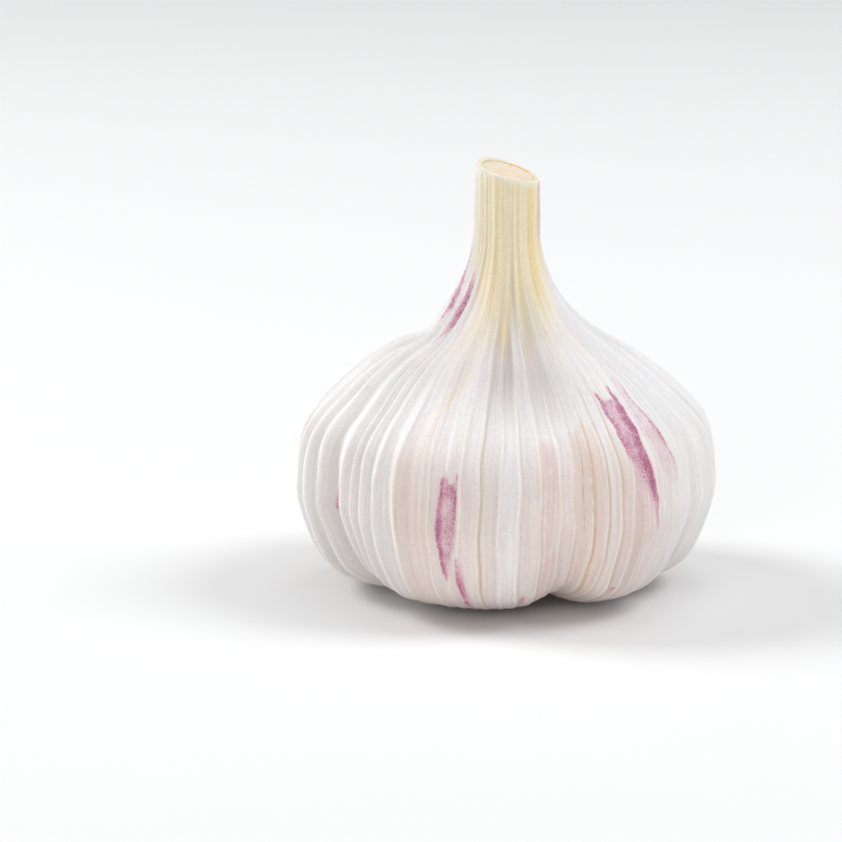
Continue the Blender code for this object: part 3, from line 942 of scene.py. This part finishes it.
def tube_mesh(paths, radii, sides):
    """Tubes along many paths at once: rings of points round each path, closed at both ends.

    paths is tubes x steps x 3 and radii is tubes x steps. Each ring lies square to its path.
    """
    tubes, steps, _ = paths.shape
    along = np.gradient(paths, axis=1)
    along /= np.linalg.norm(along, axis=-1, keepdims=True)
    aside = np.cross(along, (0.0, 0.0, 1.0))
    aside /= np.linalg.norm(aside, axis=-1, keepdims=True) + 1e-9
    over = np.cross(aside, along)
    turn = np.arange(sides) / sides * math.tau
    ring = aside[:, :, None] * np.cos(turn)[:, None] + over[:, :, None] * np.sin(turn)[:, None]
    rings = paths[:, :, None] + ring * radii[:, :, None, None]
    each = steps * sides
    points = rings.reshape(tubes * each, 3)
    quads = grid_faces(steps, sides)
    start = np.arange(sides)[::-1]
    end = np.arange(each - sides, each)
    shift = (np.arange(tubes) * each)[:, None]
    bodies = (quads[None] + shift[..., None]).reshape(-1, 4)
    return points, [bodies, start[None] + shift, end[None] + shift]


def build_roots(settings):
    """Clipped roots that stand out of the plate's side in uneven rows: short curved tubes with blunt ends.

    Most are thin. About one in six is a short fat bead, pale as the fresh cut of a root.
    """
    draw = np.random.default_rng(SEED + 11)
    count = settings.root_count
    each = (count, 1)
    t = np.linspace(0, 1, ROOT_STEPS)[None, :]
    azimuth = draw.uniform(0, math.tau, each)
    height = draw.uniform(0.25, 2.35, each)
    length = draw.uniform(0.3, 1.0, each)
    bead = draw.uniform(0, 1, each) < BEAD_SHARE
    length = np.where(bead, 0.45 * length, length)
    droop = draw.normal(0.0, 0.35, each)
    side = draw.normal(0.0, 0.35, each)
    wall = PLATE_FACE_RADIUS + (PLATE_TOP_RADIUS - PLATE_FACE_RADIUS) * height / PLATE_HEIGHT - 0.5
    reach = np.minimum(wall + (length + 0.5) * t, PLATE_TOP_RADIUS + 0.35)
    lift = np.clip(height + droop * length * t**2, 0.35, PLATE_HEIGHT - 0.15)
    paths = turned(reach, azimuth + side * length * t**2 / 8.5, lift)
    thick = np.where(bead, draw.uniform(0.24, 0.34, each), draw.uniform(0.1, 0.26, each))
    tip = np.where(bead, 1 - 0.45 * t**4, 1.1 - 0.25 * t + 0.15 * np.sin(9 * t + azimuth))
    points, faces = tube_mesh(paths, thick * tip, ROOT_SIDES)
    shade = np.where(bead, 1.0, 0.75 * draw.uniform(0, 1, each))
    masks = {
        "shade": np.repeat(shade, ROOT_STEPS * ROOT_SIDES),
        "tip": np.tile(np.repeat(t, ROOT_SIDES), count),
    }
    piece = new_piece("clipped_roots", points * MM, faces, masks)
    return settle(piece, root_material(settings), "root_cork")


def build_fibres():
    """Dry fibres round the root plate: tapering tubes that lie on the skin and lift at the tip.

    A fibre runs along the skin's outline from the lip, at the height of the skin there plus its lift.
    """
    draw = np.random.default_rng(SEED + 13)
    each = (FIBRES, 1)
    t = np.linspace(0, 1, FIBRE_STEPS)[None, :]
    start = draw.uniform(-0.01, 0.02, each)
    share = np.clip(start + draw.uniform(0.01, 0.07, each) * t, 0, 1)
    azimuth = draw.uniform(0, 360, each) + draw.normal(0, 5, each) * t
    azimuth = azimuth + draw.normal(0, 2.5, each) * np.sin(3 * t)
    radius, height, out, up = outline_at(share)
    lift = 0.12 + draw.uniform(0.0, 0.35, each) * t**2
    offset = clove_relief(azimuth, share) + lift
    level = np.maximum(height + up * offset, 0.25)
    paths = turned(radius + out * offset, np.radians(azimuth), level, DEPTH_SHARE)
    thick = draw.uniform(0.04, 0.13, each)
    points, faces = tube_mesh(paths, thick * (1.05 - 0.9 * t**2), FIBRE_SIDES)
    masks = {"shade": np.repeat(draw.uniform(0, 1, each), FIBRE_STEPS * FIBRE_SIDES)}
    piece = new_piece("dry_fibres", points * MM, faces, masks)
    return settle(piece, fibre_material(), "root_cork")


# Materials

# Lines and bands along the grain of the skin and of the neck: how many across and along in a millimetre,
# the lines' width in the noise that draws them, and where the noise starts
LILAC_GRAIN = (0.2, 0.002, 0.01, 3.0)
TAN_GRAIN = (0.26, 0.003, 0.007, 11.0)
CREAM_GRAIN = (0.33, 0.003, 0.014, 23.0)
WHITE_GRAIN = (0.5, 0.005, 0.02, 37.0)
NECK_TAN_GRAIN = (0.42, 0.006, 0.04, 5.0)
NECK_WHITE_GRAIN = (0.5, 0.005, 0.035, 17.0)

LILAC = (0.76, 0.70, 0.71)
TAN_BAND = (0.69, 0.58, 0.50)
WHITE_BAND = (0.88, 0.87, 0.87)
FILM = (0.855, 0.85, 0.855)
# Painted shade on the pleats' falling sides, and painted highlight on their rising sides and on the neck's
# left side
VALLEY_SHADE = (0.60, 0.575, 0.55)
HIGHLIGHT_WHITE = (0.96, 0.96, 0.96)
# Painted shade towards the root plate
FOOT_SHADE = (0.64, 0.56, 0.53)
WHITE_CREST = (0.96, 0.955, 0.955)
# Painted shadow, in tan, beside each vein
VEIN_SHADOW = (0.64, 0.47, 0.35)
TAN_DASH = (0.70, 0.44, 0.28)
CREAM_LINE = (0.84, 0.77, 0.62)
WHITE_LINE = (0.9, 0.89, 0.87)
FILM_RIM = (0.9, 0.89, 0.88)
CREASE = (0.92, 0.91, 0.91)
# Painted shade on the collar, partly the skin's own duller tone
COLLAR_LILAC_TONE_AND_SHADE = (0.52, 0.455, 0.45)
COLLAR_BEIGE_TONE_AND_SHADE = (0.50, 0.425, 0.335)
AMBER = (0.82, 0.64, 0.36)
STREAK_WASH = (0.74, 0.38, 0.52)
STREAK_CORE = (0.33, 0.12, 0.16)
NECK_CREAM = (0.98, 0.89, 0.66)
NECK_DULL = (0.84, 0.70, 0.46)
NECK_TAN = (0.84, 0.62, 0.33)
NECK_WHITE = (0.96, 0.92, 0.80)
NECK_TOP = (0.90, 0.87, 0.74)
RING_EDGE = (0.93, 0.89, 0.79)
RING_INSIDE = (0.89, 0.77, 0.54)
RING_SPOT = (0.93, 0.88, 0.76)
RING_HOLE = (0.86, 0.70, 0.45)
RING_CRESCENT = (0.88, 0.66, 0.32)
PITH_TAN = (0.82, 0.57, 0.38)
PITH_PALE = (0.88, 0.81, 0.71)
PITH_MARK = (0.74, 0.55, 0.38)
CORK_LIGHT = (0.92, 0.69, 0.42)
CORK_BROWN = (0.66, 0.36, 0.17)
CORK_PALE = (0.94, 0.79, 0.58)
ROOT_CUT = (0.93, 0.84, 0.74)
FIBRE_CREAM = (0.90, 0.84, 0.72)
FIBRE_BROWN = (0.76, 0.60, 0.40)
FIBRE_PALE = (0.94, 0.90, 0.82)
FLOOR_LIGHT = (0.88, 0.88, 0.88)


def node(tree, kind, inputs=None, **settings):
    """Adds a node. Inputs are given by name or number, each a value or another node's output."""
    new = tree.nodes.new(kind)
    for key, value in settings.items():
        setattr(new, key, value)
    for key, value in (inputs or {}).items():
        if isinstance(value, bpy.types.NodeSocket):
            tree.links.new(value, new.inputs[key])
        else:
            new.inputs[key].default_value = value
    return new


def attribute(tree, name, output="Fac"):
    """Reads an attribute of the mesh."""
    return node(tree, "ShaderNodeAttribute", attribute_name=name).outputs[output]


def blend(tree, factor, low, high):
    """Mixes two colours, each a plain one or another node's output."""
    low, high = (value if isinstance(value, bpy.types.NodeSocket) else (*value, 1) for value in (low, high))
    inputs = {0: factor, 6: low, 7: high}
    return node(tree, "ShaderNodeMix", inputs, data_type="RGBA", clamp_factor=True).outputs[2]


def combine(tree, operation, *values):
    """A Math node on values or outputs."""
    return node(tree, "ShaderNodeMath", dict(enumerate(values)), operation=operation).outputs[0]


def product(tree, *values):
    """The product of values and outputs."""
    total = values[0]
    for value in values[1:]:
        total = combine(tree, "MULTIPLY", total, value)
    return total


def spread(tree, value, low, high, to_low=0.0, to_high=1.0):
    """Maps a value smoothly from low and high to two others."""
    inputs = {"Value": value, "From Min": low, "From Max": high, "To Min": to_low, "To Max": to_high}
    return node(tree, "ShaderNodeMapRange", inputs, interpolation_type="SMOOTHSTEP").outputs[0]


def paint(tree, colour, coat, *masks):
    """Blends a coat over a colour by the product of masks: values, outputs or names of attributes."""
    masks = [attribute(tree, mask) if isinstance(mask, str) else mask for mask in masks]
    return blend(tree, product(tree, *masks), colour, coat)


def noise_node(tree, place, scale, detail, roughness=0.5):
    """Fractal noise at a place."""
    inputs = {"Vector": place, "Scale": scale, "Detail": detail, "Roughness": roughness}
    return node(tree, "ShaderNodeTexNoise", inputs)


def object_place(tree):
    """The place on the object."""
    return tree.nodes.new("ShaderNodeTexCoord").outputs["Object"]


def start_material(name):
    """A new material and its tree, with no nodes in it."""
    material = bpy.data.materials.new(name)
    material.use_nodes = True
    material.node_tree.nodes.clear()
    return material, material.node_tree


def finish_material(tree, inputs, height=None, strength=0.0, depth=0.0):
    """Ends a material with a Principled shader, with relief from a height where one is given."""
    if height is not None:
        relief = node(tree, "ShaderNodeBump", {"Height": height, "Strength": strength, "Distance": depth})
        inputs = {**inputs, "Normal": relief.outputs[0]}
    shader = node(tree, "ShaderNodeBsdfPrincipled", inputs)
    node(tree, "ShaderNodeOutputMaterial", {"Surface": shader.outputs[0]})


# Effects that materials share, as node groups

def node_group(name, inputs, outputs, fill):
    """The node group of a name, made when it is first asked for.

    inputs gives each input's default, None for a vector. fill adds the nodes, and returns what they put out.
    """
    found = bpy.data.node_groups.get(name)
    if found:
        return found
    group = bpy.data.node_groups.new(name, "ShaderNodeTree")
    for key, default in inputs.items():
        kind = "NodeSocketVector" if default is None else "NodeSocketFloat"
        socket = group.interface.new_socket(key, in_out="INPUT", socket_type=kind)
        if default is not None:
            socket.default_value = default
    for key in outputs:
        group.interface.new_socket(key, in_out="OUTPUT", socket_type="NodeSocketFloat")
    results = fill(group, group.nodes.new("NodeGroupInput").outputs)
    node(group, "NodeGroupOutput", dict(zip(outputs, results)))
    return group


def fill_fibres(group, given):
    """Noise drawn out along the grain."""
    across, along = given["Across"], given["Along"]
    scale = node(group, "ShaderNodeCombineXYZ", {0: across, 1: across, 2: along}).outputs[0]
    place = node(group, "ShaderNodeVectorMath", {0: given["Grain"], 1: scale}, operation="MULTIPLY")
    return [noise_node(group, place.outputs[0], 1.0, 3.0, 0.6).outputs["Fac"]]


def fibres(tree, grain, across, along):
    """Fine fibres along the grain, from 0 to 1: across and along are how many to a millimetre."""
    group = node_group("grain_fibres", {"Grain": None, "Across": 2.0, "Along": 0.1}, ["Fibres"], fill_fibres)
    inputs = {"Grain": grain, "Across": across, "Along": along}
    return node(tree, "ShaderNodeGroup", inputs, node_tree=group).outputs["Fibres"]


def fill_mottle(group, given):
    """Noise in spots of one size."""
    scale = combine(group, "DIVIDE", 1000.0, given["Size"])
    return [noise_node(group, object_place(group), scale, 4.0, 0.65).outputs["Fac"]]


def mottle(tree, size):
    """Fine mottling around 0.5, with spots of a size in millimetres."""
    group = node_group("fine_mottle", {"Size": 0.5}, ["Mottle"], fill_mottle)
    return node(tree, "ShaderNodeGroup", {"Size": size}, node_tree=group).outputs["Mottle"]


def fill_lines(group, given):
    """Thin lines where drawn-out noise passes its middle value, and bands on one side of them."""
    across, along, start = given["Across"], given["Along"], given["Start"]
    scale = node(group, "ShaderNodeCombineXYZ", {0: across, 1: across, 2: along}).outputs[0]
    shift = node(group, "ShaderNodeCombineXYZ", {0: start, 1: start, 2: start}).outputs[0]
    inputs = {0: given["Grain"], 1: scale, 2: shift}
    place = node(group, "ShaderNodeVectorMath", inputs, operation="MULTIPLY_ADD")
    wave = noise_node(group, place.outputs[0], 1.0, 1.0).outputs["Fac"]
    off_middle = combine(group, "ABSOLUTE", combine(group, "SUBTRACT", wave, 0.5))
    return [spread(group, off_middle, given["Width"], 0.0), spread(group, wave, 0.485, 0.515)]


def grain_lines(tree, grain, across, along, width, start):
    """Lines along the grain, and bands with crisp edges where those lines run: both as masks."""
    defaults = {"Grain": None, "Across": 0.3, "Along": 0.004, "Width": 0.02, "Start": 0.0}
    group = node_group("grain_lines", defaults, ["Lines", "Bands"], fill_lines)
    inputs = {"Grain": grain, "Across": across, "Along": along, "Width": width, "Start": start}
    new = node(tree, "ShaderNodeGroup", inputs, node_tree=group)
    return new.outputs["Lines"], new.outputs["Bands"]


def fill_creases(group, given):
    """Edges of a warped cell pattern."""
    where = object_place(group)
    scale = combine(group, "DIVIDE", 1000.0, given["Size"])
    warp = noise_node(group, where, scale, 3.0, 0.6).outputs["Color"]
    bend = node(group, "ShaderNodeVectorMath", {0: warp, "Scale": 0.004}, operation="SCALE")
    place = node(group, "ShaderNodeVectorMath", {0: where, 1: bend.outputs[0]}, operation="ADD")
    inputs = {"Vector": place.outputs[0], "Scale": scale}
    cells = node(group, "ShaderNodeTexVoronoi", inputs, feature="DISTANCE_TO_EDGE")
    return [spread(group, cells.outputs["Distance"], 0.05, 0.0)]


def creases(tree, size):
    """Fine creases in dry film, about a size apart in millimetres, as a mask."""
    group = node_group("film_creases", {"Size": 4.0}, ["Creases"], fill_creases)
    return node(tree, "ShaderNodeGroup", {"Size": size}, node_tree=group).outputs["Creases"]


# The pieces' own materials

def body_colours(tree, settings, grain, broad, fine):
    """Colours below the neck: film and flush in bands, painted shade in the pleats' valleys and towards the
    root plate, painted highlight on the pleats' rising sides, then veins, painted shadows beside them, lines
    and creases.
    """
    body = spread(tree, attribute(tree, "neck"), 0.0, 0.6, 1.0, 0.0)
    flush = attribute(tree, "flush")
    blots = mottle(tree, 1.6)
    lilac_bands = grain_lines(tree, grain, *LILAC_GRAIN)[1]
    tan_lines, tan_bands = grain_lines(tree, grain, *TAN_GRAIN)
    cream_lines, white_bands = grain_lines(tree, grain, *CREAM_GRAIN)
    white_lines = grain_lines(tree, grain, *WHITE_GRAIN)[0]

    under = blend(tree, attribute(tree, "blush"), settings.flush_colour, settings.blush_colour)
    colour = paint(tree, settings.skin_colour, under, flush, spread(tree, broad, 0.35, 0.6, 0.85, 1.0))
    colour = paint(tree, colour, LILAC, lilac_bands, body, 0.22)
    colour = paint(tree, colour, TAN_BAND, tan_bands, flush, 0.4)
    colour = paint(tree, colour, WHITE_BAND, white_bands, body, 0.2)
    colour = paint(tree, colour, LILAC, spread(tree, mottle(tree, 7.0), 0.45, 0.7), body, 0.25)
    colour = paint(tree, colour, FILM, "film", 0.6)
    # Painted shade in the pleats' valleys, then painted highlight on their rising sides and on the neck's
    # left side
    colour = paint(tree, colour, VALLEY_SHADE, "valley_shade", 0.9)
    colour = paint(tree, colour, HIGHLIGHT_WHITE, "painted_highlight", 0.75)
    # Painted shade towards the root plate
    colour = paint(tree, colour, FOOT_SHADE, "foot", 0.45)

    # White crests of the veins, partly painted highlight where the skin is pleated
    crest = blend(tree, spread(tree, flush, 0.3, 0.8), WHITE_CREST, settings.vein_colour)
    colour = paint(tree, colour, crest, "vein", spread(tree, fine, 0.25, 0.6, 0.2, 0.65))
    # Painted shadow beside each vein
    colour = paint(tree, colour, VEIN_SHADOW, "vein_shadow", spread(tree, broad, 0.35, 0.55, 0.35, 0.85))
    dashes = spread(tree, fibres(tree, grain, 1.2, 0.4), 0.42, 0.56)
    colour = paint(tree, colour, TAN_DASH, tan_lines, dashes, flush, 0.6)
    colour = paint(tree, colour, CREAM_LINE, cream_lines, body, 0.2)
    colour = paint(tree, colour, WHITE_LINE, white_lines, 0.15)
    colour = paint(tree, colour, FILM_RIM, "film_edge", 0.4)
    threads = product(tree, creases(tree, 6.0), spread(tree, blots, 0.5, 0.7), body, 0.2)
    wrinkled = attribute(tree, "wrinkles")
    wrinkles = product(tree, creases(tree, 3.2), spread(tree, blots, 0.35, 0.55), wrinkled, 0.3)
    return paint(tree, colour, CREASE, combine(tree, "ADD", threads, wrinkles))


def neck_colours(tree, settings, grain):
    """Colours of the neck: yellow, cream and duller stripes, thin lines, and a pale top."""
    stripes = spread(tree, fibres(tree, grain, 0.3, 0.004), 0.43, 0.57)
    dull = spread(tree, fibres(tree, grain, 0.2, 0.003), 0.52, 0.62, 0.0, 0.35)
    colour = paint(tree, settings.neck_colour, NECK_CREAM, stripes)
    colour = paint(tree, colour, NECK_DULL, dull)
    colour = paint(tree, colour, NECK_TAN, grain_lines(tree, grain, *NECK_TAN_GRAIN)[0], 0.45)
    colour = paint(tree, colour, NECK_WHITE, grain_lines(tree, grain, *NECK_WHITE_GRAIN)[0], 0.3)
    return paint(tree, colour, NECK_TOP, "rim", 0.75)


def streak_colours(tree, settings, colour, fine):
    """Purple streaks over a colour: a pink wash, grains of purple, and a dark core where dense."""
    tint = product(tree, attribute(tree, "plate_tint"), 0.5)
    streak = combine(tree, "MAXIMUM", attribute(tree, "purple"), tint)
    colour = paint(tree, colour, STREAK_WASH, spread(tree, streak, 0.0, 1.1, 0.0, 0.85))
    grains = combine(tree, "ADD", mottle(tree, 0.17), product(tree, fine, 0.25))
    grains = combine(tree, "ADD", grains, product(tree, mottle(tree, 1.6), 0.45))
    level = product(tree, streak, spread(tree, grains, 0.64, 1.04, 0.2, 1.9))
    colour = paint(tree, colour, settings.streak_colour, spread(tree, level, 0.15, 1.2))
    return paint(tree, colour, STREAK_CORE, spread(tree, level, 0.9, 1.7, 0.0, 0.7))


def skin_colours(tree, settings, grain, broad, fine):
    """Colours of the skin: body and neck, a collar between them darkened by painted shade and its own duller
    tone, streaks, and fine tones.
    """
    colour = body_colours(tree, settings, grain, broad, fine)
    colour = paint(tree, colour, neck_colours(tree, settings, grain), "neck")
    # The collar's grey: painted shade, partly the skin's own duller tone
    beige = spread(tree, attribute(tree, "neck"), 0.1, 0.6)
    dull = blend(tree, beige, COLLAR_LILAC_TONE_AND_SHADE, COLLAR_BEIGE_TONE_AND_SHADE)
    colour = paint(tree, colour, dull, "collar_tone_and_shade", spread(tree, broad, 0.35, 0.6, 0.75, 1.0))
    colour = paint(tree, colour, AMBER, "amber", spread(tree, fine, 0.3, 0.6), 0.75)
    colour = streak_colours(tree, settings, colour, fine)
    tone = combine(tree, "ADD", product(tree, fine, 0.35), product(tree, mottle(tree, 0.22), 0.4))
    tone = combine(tree, "ADD", tone, product(tree, mottle(tree, 0.5), 0.15))
    tone = spread(tree, tone, 0.32, 0.58, 0.91, 1.05)
    return node(tree, "ShaderNodeVectorMath", {0: colour, "Scale": tone}, operation="SCALE").outputs[0]


def ring_colours(tree):
    """Colours of the cut ring of the neck: pale at its edge, yellower inside, with a crescent at the back."""
    across = attribute(tree, "across")
    ring = blend(tree, spread(tree, across, 0.2, 0.6), RING_EDGE, RING_INSIDE)
    ring = paint(tree, ring, RING_SPOT, spread(tree, mottle(tree, 0.6), 0.5, 0.7), 0.5)
    ring = paint(tree, ring, RING_HOLE, spread(tree, across, 0.85, 0.97, 0.0, 0.5))
    return paint(tree, ring, RING_CRESCENT, spread(tree, attribute(tree, "crescent"), 0.3, 0.7, 0.0, 0.85))


def skin_material(settings):
    """Papery skin: layers of dry film over a flush, with fine relief along the grain."""
    material, tree = start_material("papery_skin")
    grain = attribute(tree, "grain", "Vector")
    broad = fibres(tree, grain, 0.55, 0.02)
    fine = fibres(tree, grain, 2.4, 0.09)
    height = combine(tree, "ADD", fine, product(tree, broad, 1.5))
    height = combine(tree, "ADD", height, product(tree, mottle(tree, 0.35), 0.35))
    height = combine(tree, "ADD", height, product(tree, creases(tree, 3.0), 0.25))
    colour = skin_colours(tree, settings, grain, broad, fine)
    inputs = {
        "Base Color": paint(tree, colour, ring_colours(tree), "cut"),
        "Roughness": spread(tree, broad, 0.2, 0.8, 0.42, 0.6),
        "Specular IOR Level": 0.38,
        "Subsurface Weight": 0.25,
        "Subsurface Radius": (1.0, 0.7, 0.55),
        "Subsurface Scale": 0.0009,
        "Sheen Weight": 0.06,
        "Sheen Roughness": 0.4,
    }
    finish_material(tree, inputs, height, 0.8, 0.00012)
    return material


def smears(tree):
    """Noise drawn out from left to right, as a knife leaves it on a cut."""
    place = node(tree, "ShaderNodeMapping", {"Vector": object_place(tree), "Scale": (500.0, 1500.0, 600.0)})
    return noise_node(tree, place.outputs[0], 1.0, 4.0, 0.6).outputs["Fac"]


def pith_material(settings):
    """Cut stalk: pale moist fibre with small tan marks."""
    material, tree = start_material("cut_pith")
    small = mottle(tree, 0.3)
    streaks = smears(tree)
    colour = paint(tree, settings.pith_colour, PITH_TAN, spread(tree, streaks, 0.54, 0.68, 0.0, 0.75))
    colour = paint(tree, colour, PITH_PALE, spread(tree, streaks, 0.47, 0.36, 0.0, 0.8))
    inputs = {
        "Base Color": paint(tree, colour, PITH_MARK, spread(tree, small, 0.5, 0.62, 0.0, 0.6)),
        "Roughness": spread(tree, small, 0.2, 0.8, 0.45, 0.7),
        "Specular IOR Level": 0.35,
        "Subsurface Weight": 0.3,
        "Subsurface Radius": (1.0, 0.7, 0.4),
        "Subsurface Scale": 0.001,
    }
    finish_material(tree, inputs, small, 0.6, 0.0001)
    return material


def cork_colour(tree, settings, dark):
    """Tan with pits: dark is a mask of what lies deep."""
    colour = paint(tree, settings.cork_colour, CORK_LIGHT, spread(tree, mottle(tree, 2.4), 0.42, 0.62))
    colour = paint(tree, colour, CORK_BROWN, spread(tree, mottle(tree, 0.55), 0.5, 0.62, 0.0, 0.7))
    colour = paint(tree, colour, CORK_PALE, spread(tree, mottle(tree, 0.32), 0.53, 0.66, 0.0, 0.7))
    return paint(tree, colour, settings.pit_colour, dark)


def cork_material(settings):
    """Dry cork: tan, rough, with brown pits."""
    material, tree = start_material("root_cork")
    small = mottle(tree, 0.25)
    deep = spread(tree, attribute(tree, "pit"), 0.25, 0.9)
    dark = product(tree, deep, spread(tree, small, 0.3, 0.6, 0.4, 1.0))
    inputs = {
        "Base Color": cork_colour(tree, settings, dark),
        "Roughness": spread(tree, small, 0.2, 0.8, 0.75, 0.95),
        "Specular IOR Level": 0.25,
    }
    finish_material(tree, inputs, small, 1.0, 0.0003)
    return material


def root_material(settings):
    """Clipped roots: tan to brown, darker at the foot, pale at the cut."""
    material, tree = start_material("clipped_roots")
    shade = attribute(tree, "shade")
    foot = spread(tree, attribute(tree, "tip"), 0.0, 0.8, 0.8, 0.0)
    dark = combine(tree, "MAXIMUM", foot, spread(tree, shade, 0.4, 0.75, 0.0, 0.85))
    bare = cork_colour(tree, settings, dark)
    inputs = {
        "Base Color": paint(tree, bare, ROOT_CUT, spread(tree, shade, 0.9, 1.0, 0.0, 0.85)),
        "Roughness": spread(tree, shade, 0.9, 1.0, 0.85, 0.4),
        "Specular IOR Level": 0.25,
    }
    finish_material(tree, inputs, mottle(tree, 0.25), 0.8, 0.0001)
    return material


def fibre_material():
    """Dry fibres: cream, some browner."""
    material, tree = start_material("dry_fibres")
    tone = blend(tree, spread(tree, attribute(tree, "shade"), 0.5, 1.0), FIBRE_CREAM, FIBRE_BROWN)
    colour = paint(tree, tone, FIBRE_PALE, spread(tree, mottle(tree, 0.4), 0.35, 0.7))
    finish_material(tree, {"Base Color": colour, "Roughness": 0.65, "Specular IOR Level": 0.3})
    return material


def floor_material(settings):
    """Plain pale matt floor."""
    material, tree = start_material("pale_floor")
    tone = spread(tree, mottle(tree, 40.0), 0.3, 0.7, 0.0, 0.06)
    colour = paint(tree, settings.floor_colour, FLOOR_LIGHT, tone)
    finish_material(tree, {"Base Color": colour, "Roughness": 0.9, "Specular IOR Level": 0.1})
    return material


# Stage

PHOTO_SIDE = 842
PHOTO_MM_PER_PIXEL = 0.14458
BULB_IN_PHOTO = (507.0, 468.0)
AIM_HEIGHT = 17.3
SENSOR_WIDTH = 36.0

# Square lights: name, place and side in metres, power in watts, and colour
LIGHTS = (
    ("key", (-0.77, 0.25, 0.7), 0.4, 5.8, (0.985, 0.99, 1.0)),
    ("fill", (0.72, 0.0, 0.85), 0.5, 5.7, (0.975, 0.985, 1.0)),
    ("front", (-0.3, -1.0, 0.25), 0.7, 2.85, (1.0, 0.995, 0.98)),
    ("top", (0.1, 0.1, 1.0), 0.5, 1.2, (0.98, 0.99, 1.0)),
)
LIGHT_AIM = (0, 0, 0.025)
SURROUND_STRENGTH = 0.38
FLOOR_HALF_SIDE = 3.0
FLOOR_DROP = 0.02


def build_camera(settings):
    """A camera level from side to side, moved aside so that the bulb lands where the photo has it."""
    view = bpy.data.cameras.new("camera")
    camera = bpy.data.objects.new("camera", view)
    bpy.context.scene.collection.objects.link(camera)
    lean = settings.elevation
    forward = Vector((0, math.cos(lean), -math.sin(lean)))
    upward = Vector((0, math.sin(lean), math.cos(lean)))
    aside = (BULB_IN_PHOTO[0] - PHOTO_SIDE / 2) * PHOTO_MM_PER_PIXEL * MM
    over = (PHOTO_SIDE / 2 - BULB_IN_PHOTO[1]) * PHOTO_MM_PER_PIXEL * MM
    aim = Vector((0, 0, AIM_HEIGHT * MM))
    camera.location = aim - forward * settings.distance - Vector((aside, 0, 0)) - upward * over
    camera.rotation_euler = (math.pi / 2 - lean, 0, 0)
    view.sensor_width = SENSOR_WIDTH
    view.lens = SENSOR_WIDTH * settings.distance / (PHOTO_SIDE * PHOTO_MM_PER_PIXEL * MM)
    view.clip_start = 0.02
    view.clip_end = 20
    bpy.context.scene.camera = camera


def build_lights():
    """A key from the upper left, a fill as strong from the right, weaker ones, and a pale surround."""
    for name, place, side, power, colour in LIGHTS:
        lamp = bpy.data.lights.new(name, "AREA")
        lamp.shape = "SQUARE"
        lamp.size = side
        lamp.energy = power
        lamp.color = colour
        light = bpy.data.objects.new(name, lamp)
        light.location = place
        light.rotation_euler = (Vector(LIGHT_AIM) - Vector(place)).to_track_quat("-Z", "Y").to_euler()
        bpy.context.scene.collection.objects.link(light)
    world = bpy.data.worlds.new("surround")
    bpy.context.scene.world = world
    world.use_nodes = True
    background = world.node_tree.nodes["Background"]
    background.inputs["Color"].default_value = (1.0, 1.0, 1.0, 1)
    background.inputs["Strength"].default_value = SURROUND_STRENGTH


def build_floor(settings):
    """A wide flat square under the bulb."""
    corners = np.array([[-1, -1, 0], [1, -1, 0], [1, 1, 0], [-1, 1, 0]]) * FLOOR_HALF_SIDE
    corners[:, 2] = -FLOOR_DROP * MM
    floor = new_piece("floor", corners, [np.array([[0, 1, 2, 3]])], smooth=False)
    floor.data.materials.append(floor_material(settings))


# Operators and panel

class GARLIC_OT_skin(bpy.types.Operator):
    """Builds the papery skin with its neck"""

    bl_idname = "garlic.skin"
    bl_label = "Build skin"

    def execute(self, context):
        build_skin(context.scene.garlic_skin)
        return {"FINISHED"}


class GARLIC_OT_stalk(bpy.types.Operator):
    """Builds the cut stalk in the neck"""

    bl_idname = "garlic.stalk"
    bl_label = "Build stalk"

    def execute(self, context):
        build_stalk(context.scene.garlic_cut)
        return {"FINISHED"}


class GARLIC_OT_roots(bpy.types.Operator):
    """Builds the root plate and its clipped roots"""

    bl_idname = "garlic.roots"
    bl_label = "Build root plate"

    def execute(self, context):
        build_plate(context.scene.garlic_root)
        build_roots(context.scene.garlic_root)
        build_fibres()
        return {"FINISHED"}


class GARLIC_OT_stage(bpy.types.Operator):
    """Sets the floor, the lights and the camera"""

    bl_idname = "garlic.stage"
    bl_label = "Set stage"

    def execute(self, context):
        build_floor(context.scene.garlic_stage)
        build_lights()
        build_camera(context.scene.garlic_stage)
        context.scene.view_settings.view_transform = "Standard"
        context.scene.view_settings.look = "None"
        return {"FINISHED"}


OPERATORS = (GARLIC_OT_skin, GARLIC_OT_stalk, GARLIC_OT_roots, GARLIC_OT_stage)
SETTINGS = {
    "garlic_skin": GarlicSkinSettings,
    "garlic_cut": GarlicCutSettings,
    "garlic_root": GarlicRootSettings,
    "garlic_stage": GarlicStageSettings,
}


class GARLIC_PT_panel(bpy.types.Panel):
    """Lists the settings and the steps of the garlic bulb"""

    bl_idname = "GARLIC_PT_panel"
    bl_label = "Garlic bulb"
    bl_space_type = "VIEW_3D"
    bl_region_type = "UI"
    bl_category = "Garlic"

    def draw(self, context):
        for operator, (key, group) in zip(OPERATORS, SETTINGS.items()):
            box = self.layout.box()
            for name in group.__annotations__:
                box.prop(getattr(context.scene, key), name)
            box.operator(operator.bl_idname)


def register():
    for group in SETTINGS.values():
        bpy.utils.register_class(group)
    for operator in OPERATORS:
        bpy.utils.register_class(operator)
    bpy.utils.register_class(GARLIC_PT_panel)
    for key, group in SETTINGS.items():
        setattr(bpy.types.Scene, key, PointerProperty(type=group))


def unregister():
    for key in SETTINGS:
        delattr(bpy.types.Scene, key)
    bpy.utils.unregister_class(GARLIC_PT_panel)
    for operator in reversed(OPERATORS):
        bpy.utils.unregister_class(operator)
    for group in reversed(SETTINGS.values()):
        bpy.utils.unregister_class(group)


def main():
    register()
    bpy.ops.garlic.skin()
    bpy.ops.garlic.stalk()
    bpy.ops.garlic.roots()
    bpy.ops.garlic.stage()


if __name__ == "__main__":
    main()
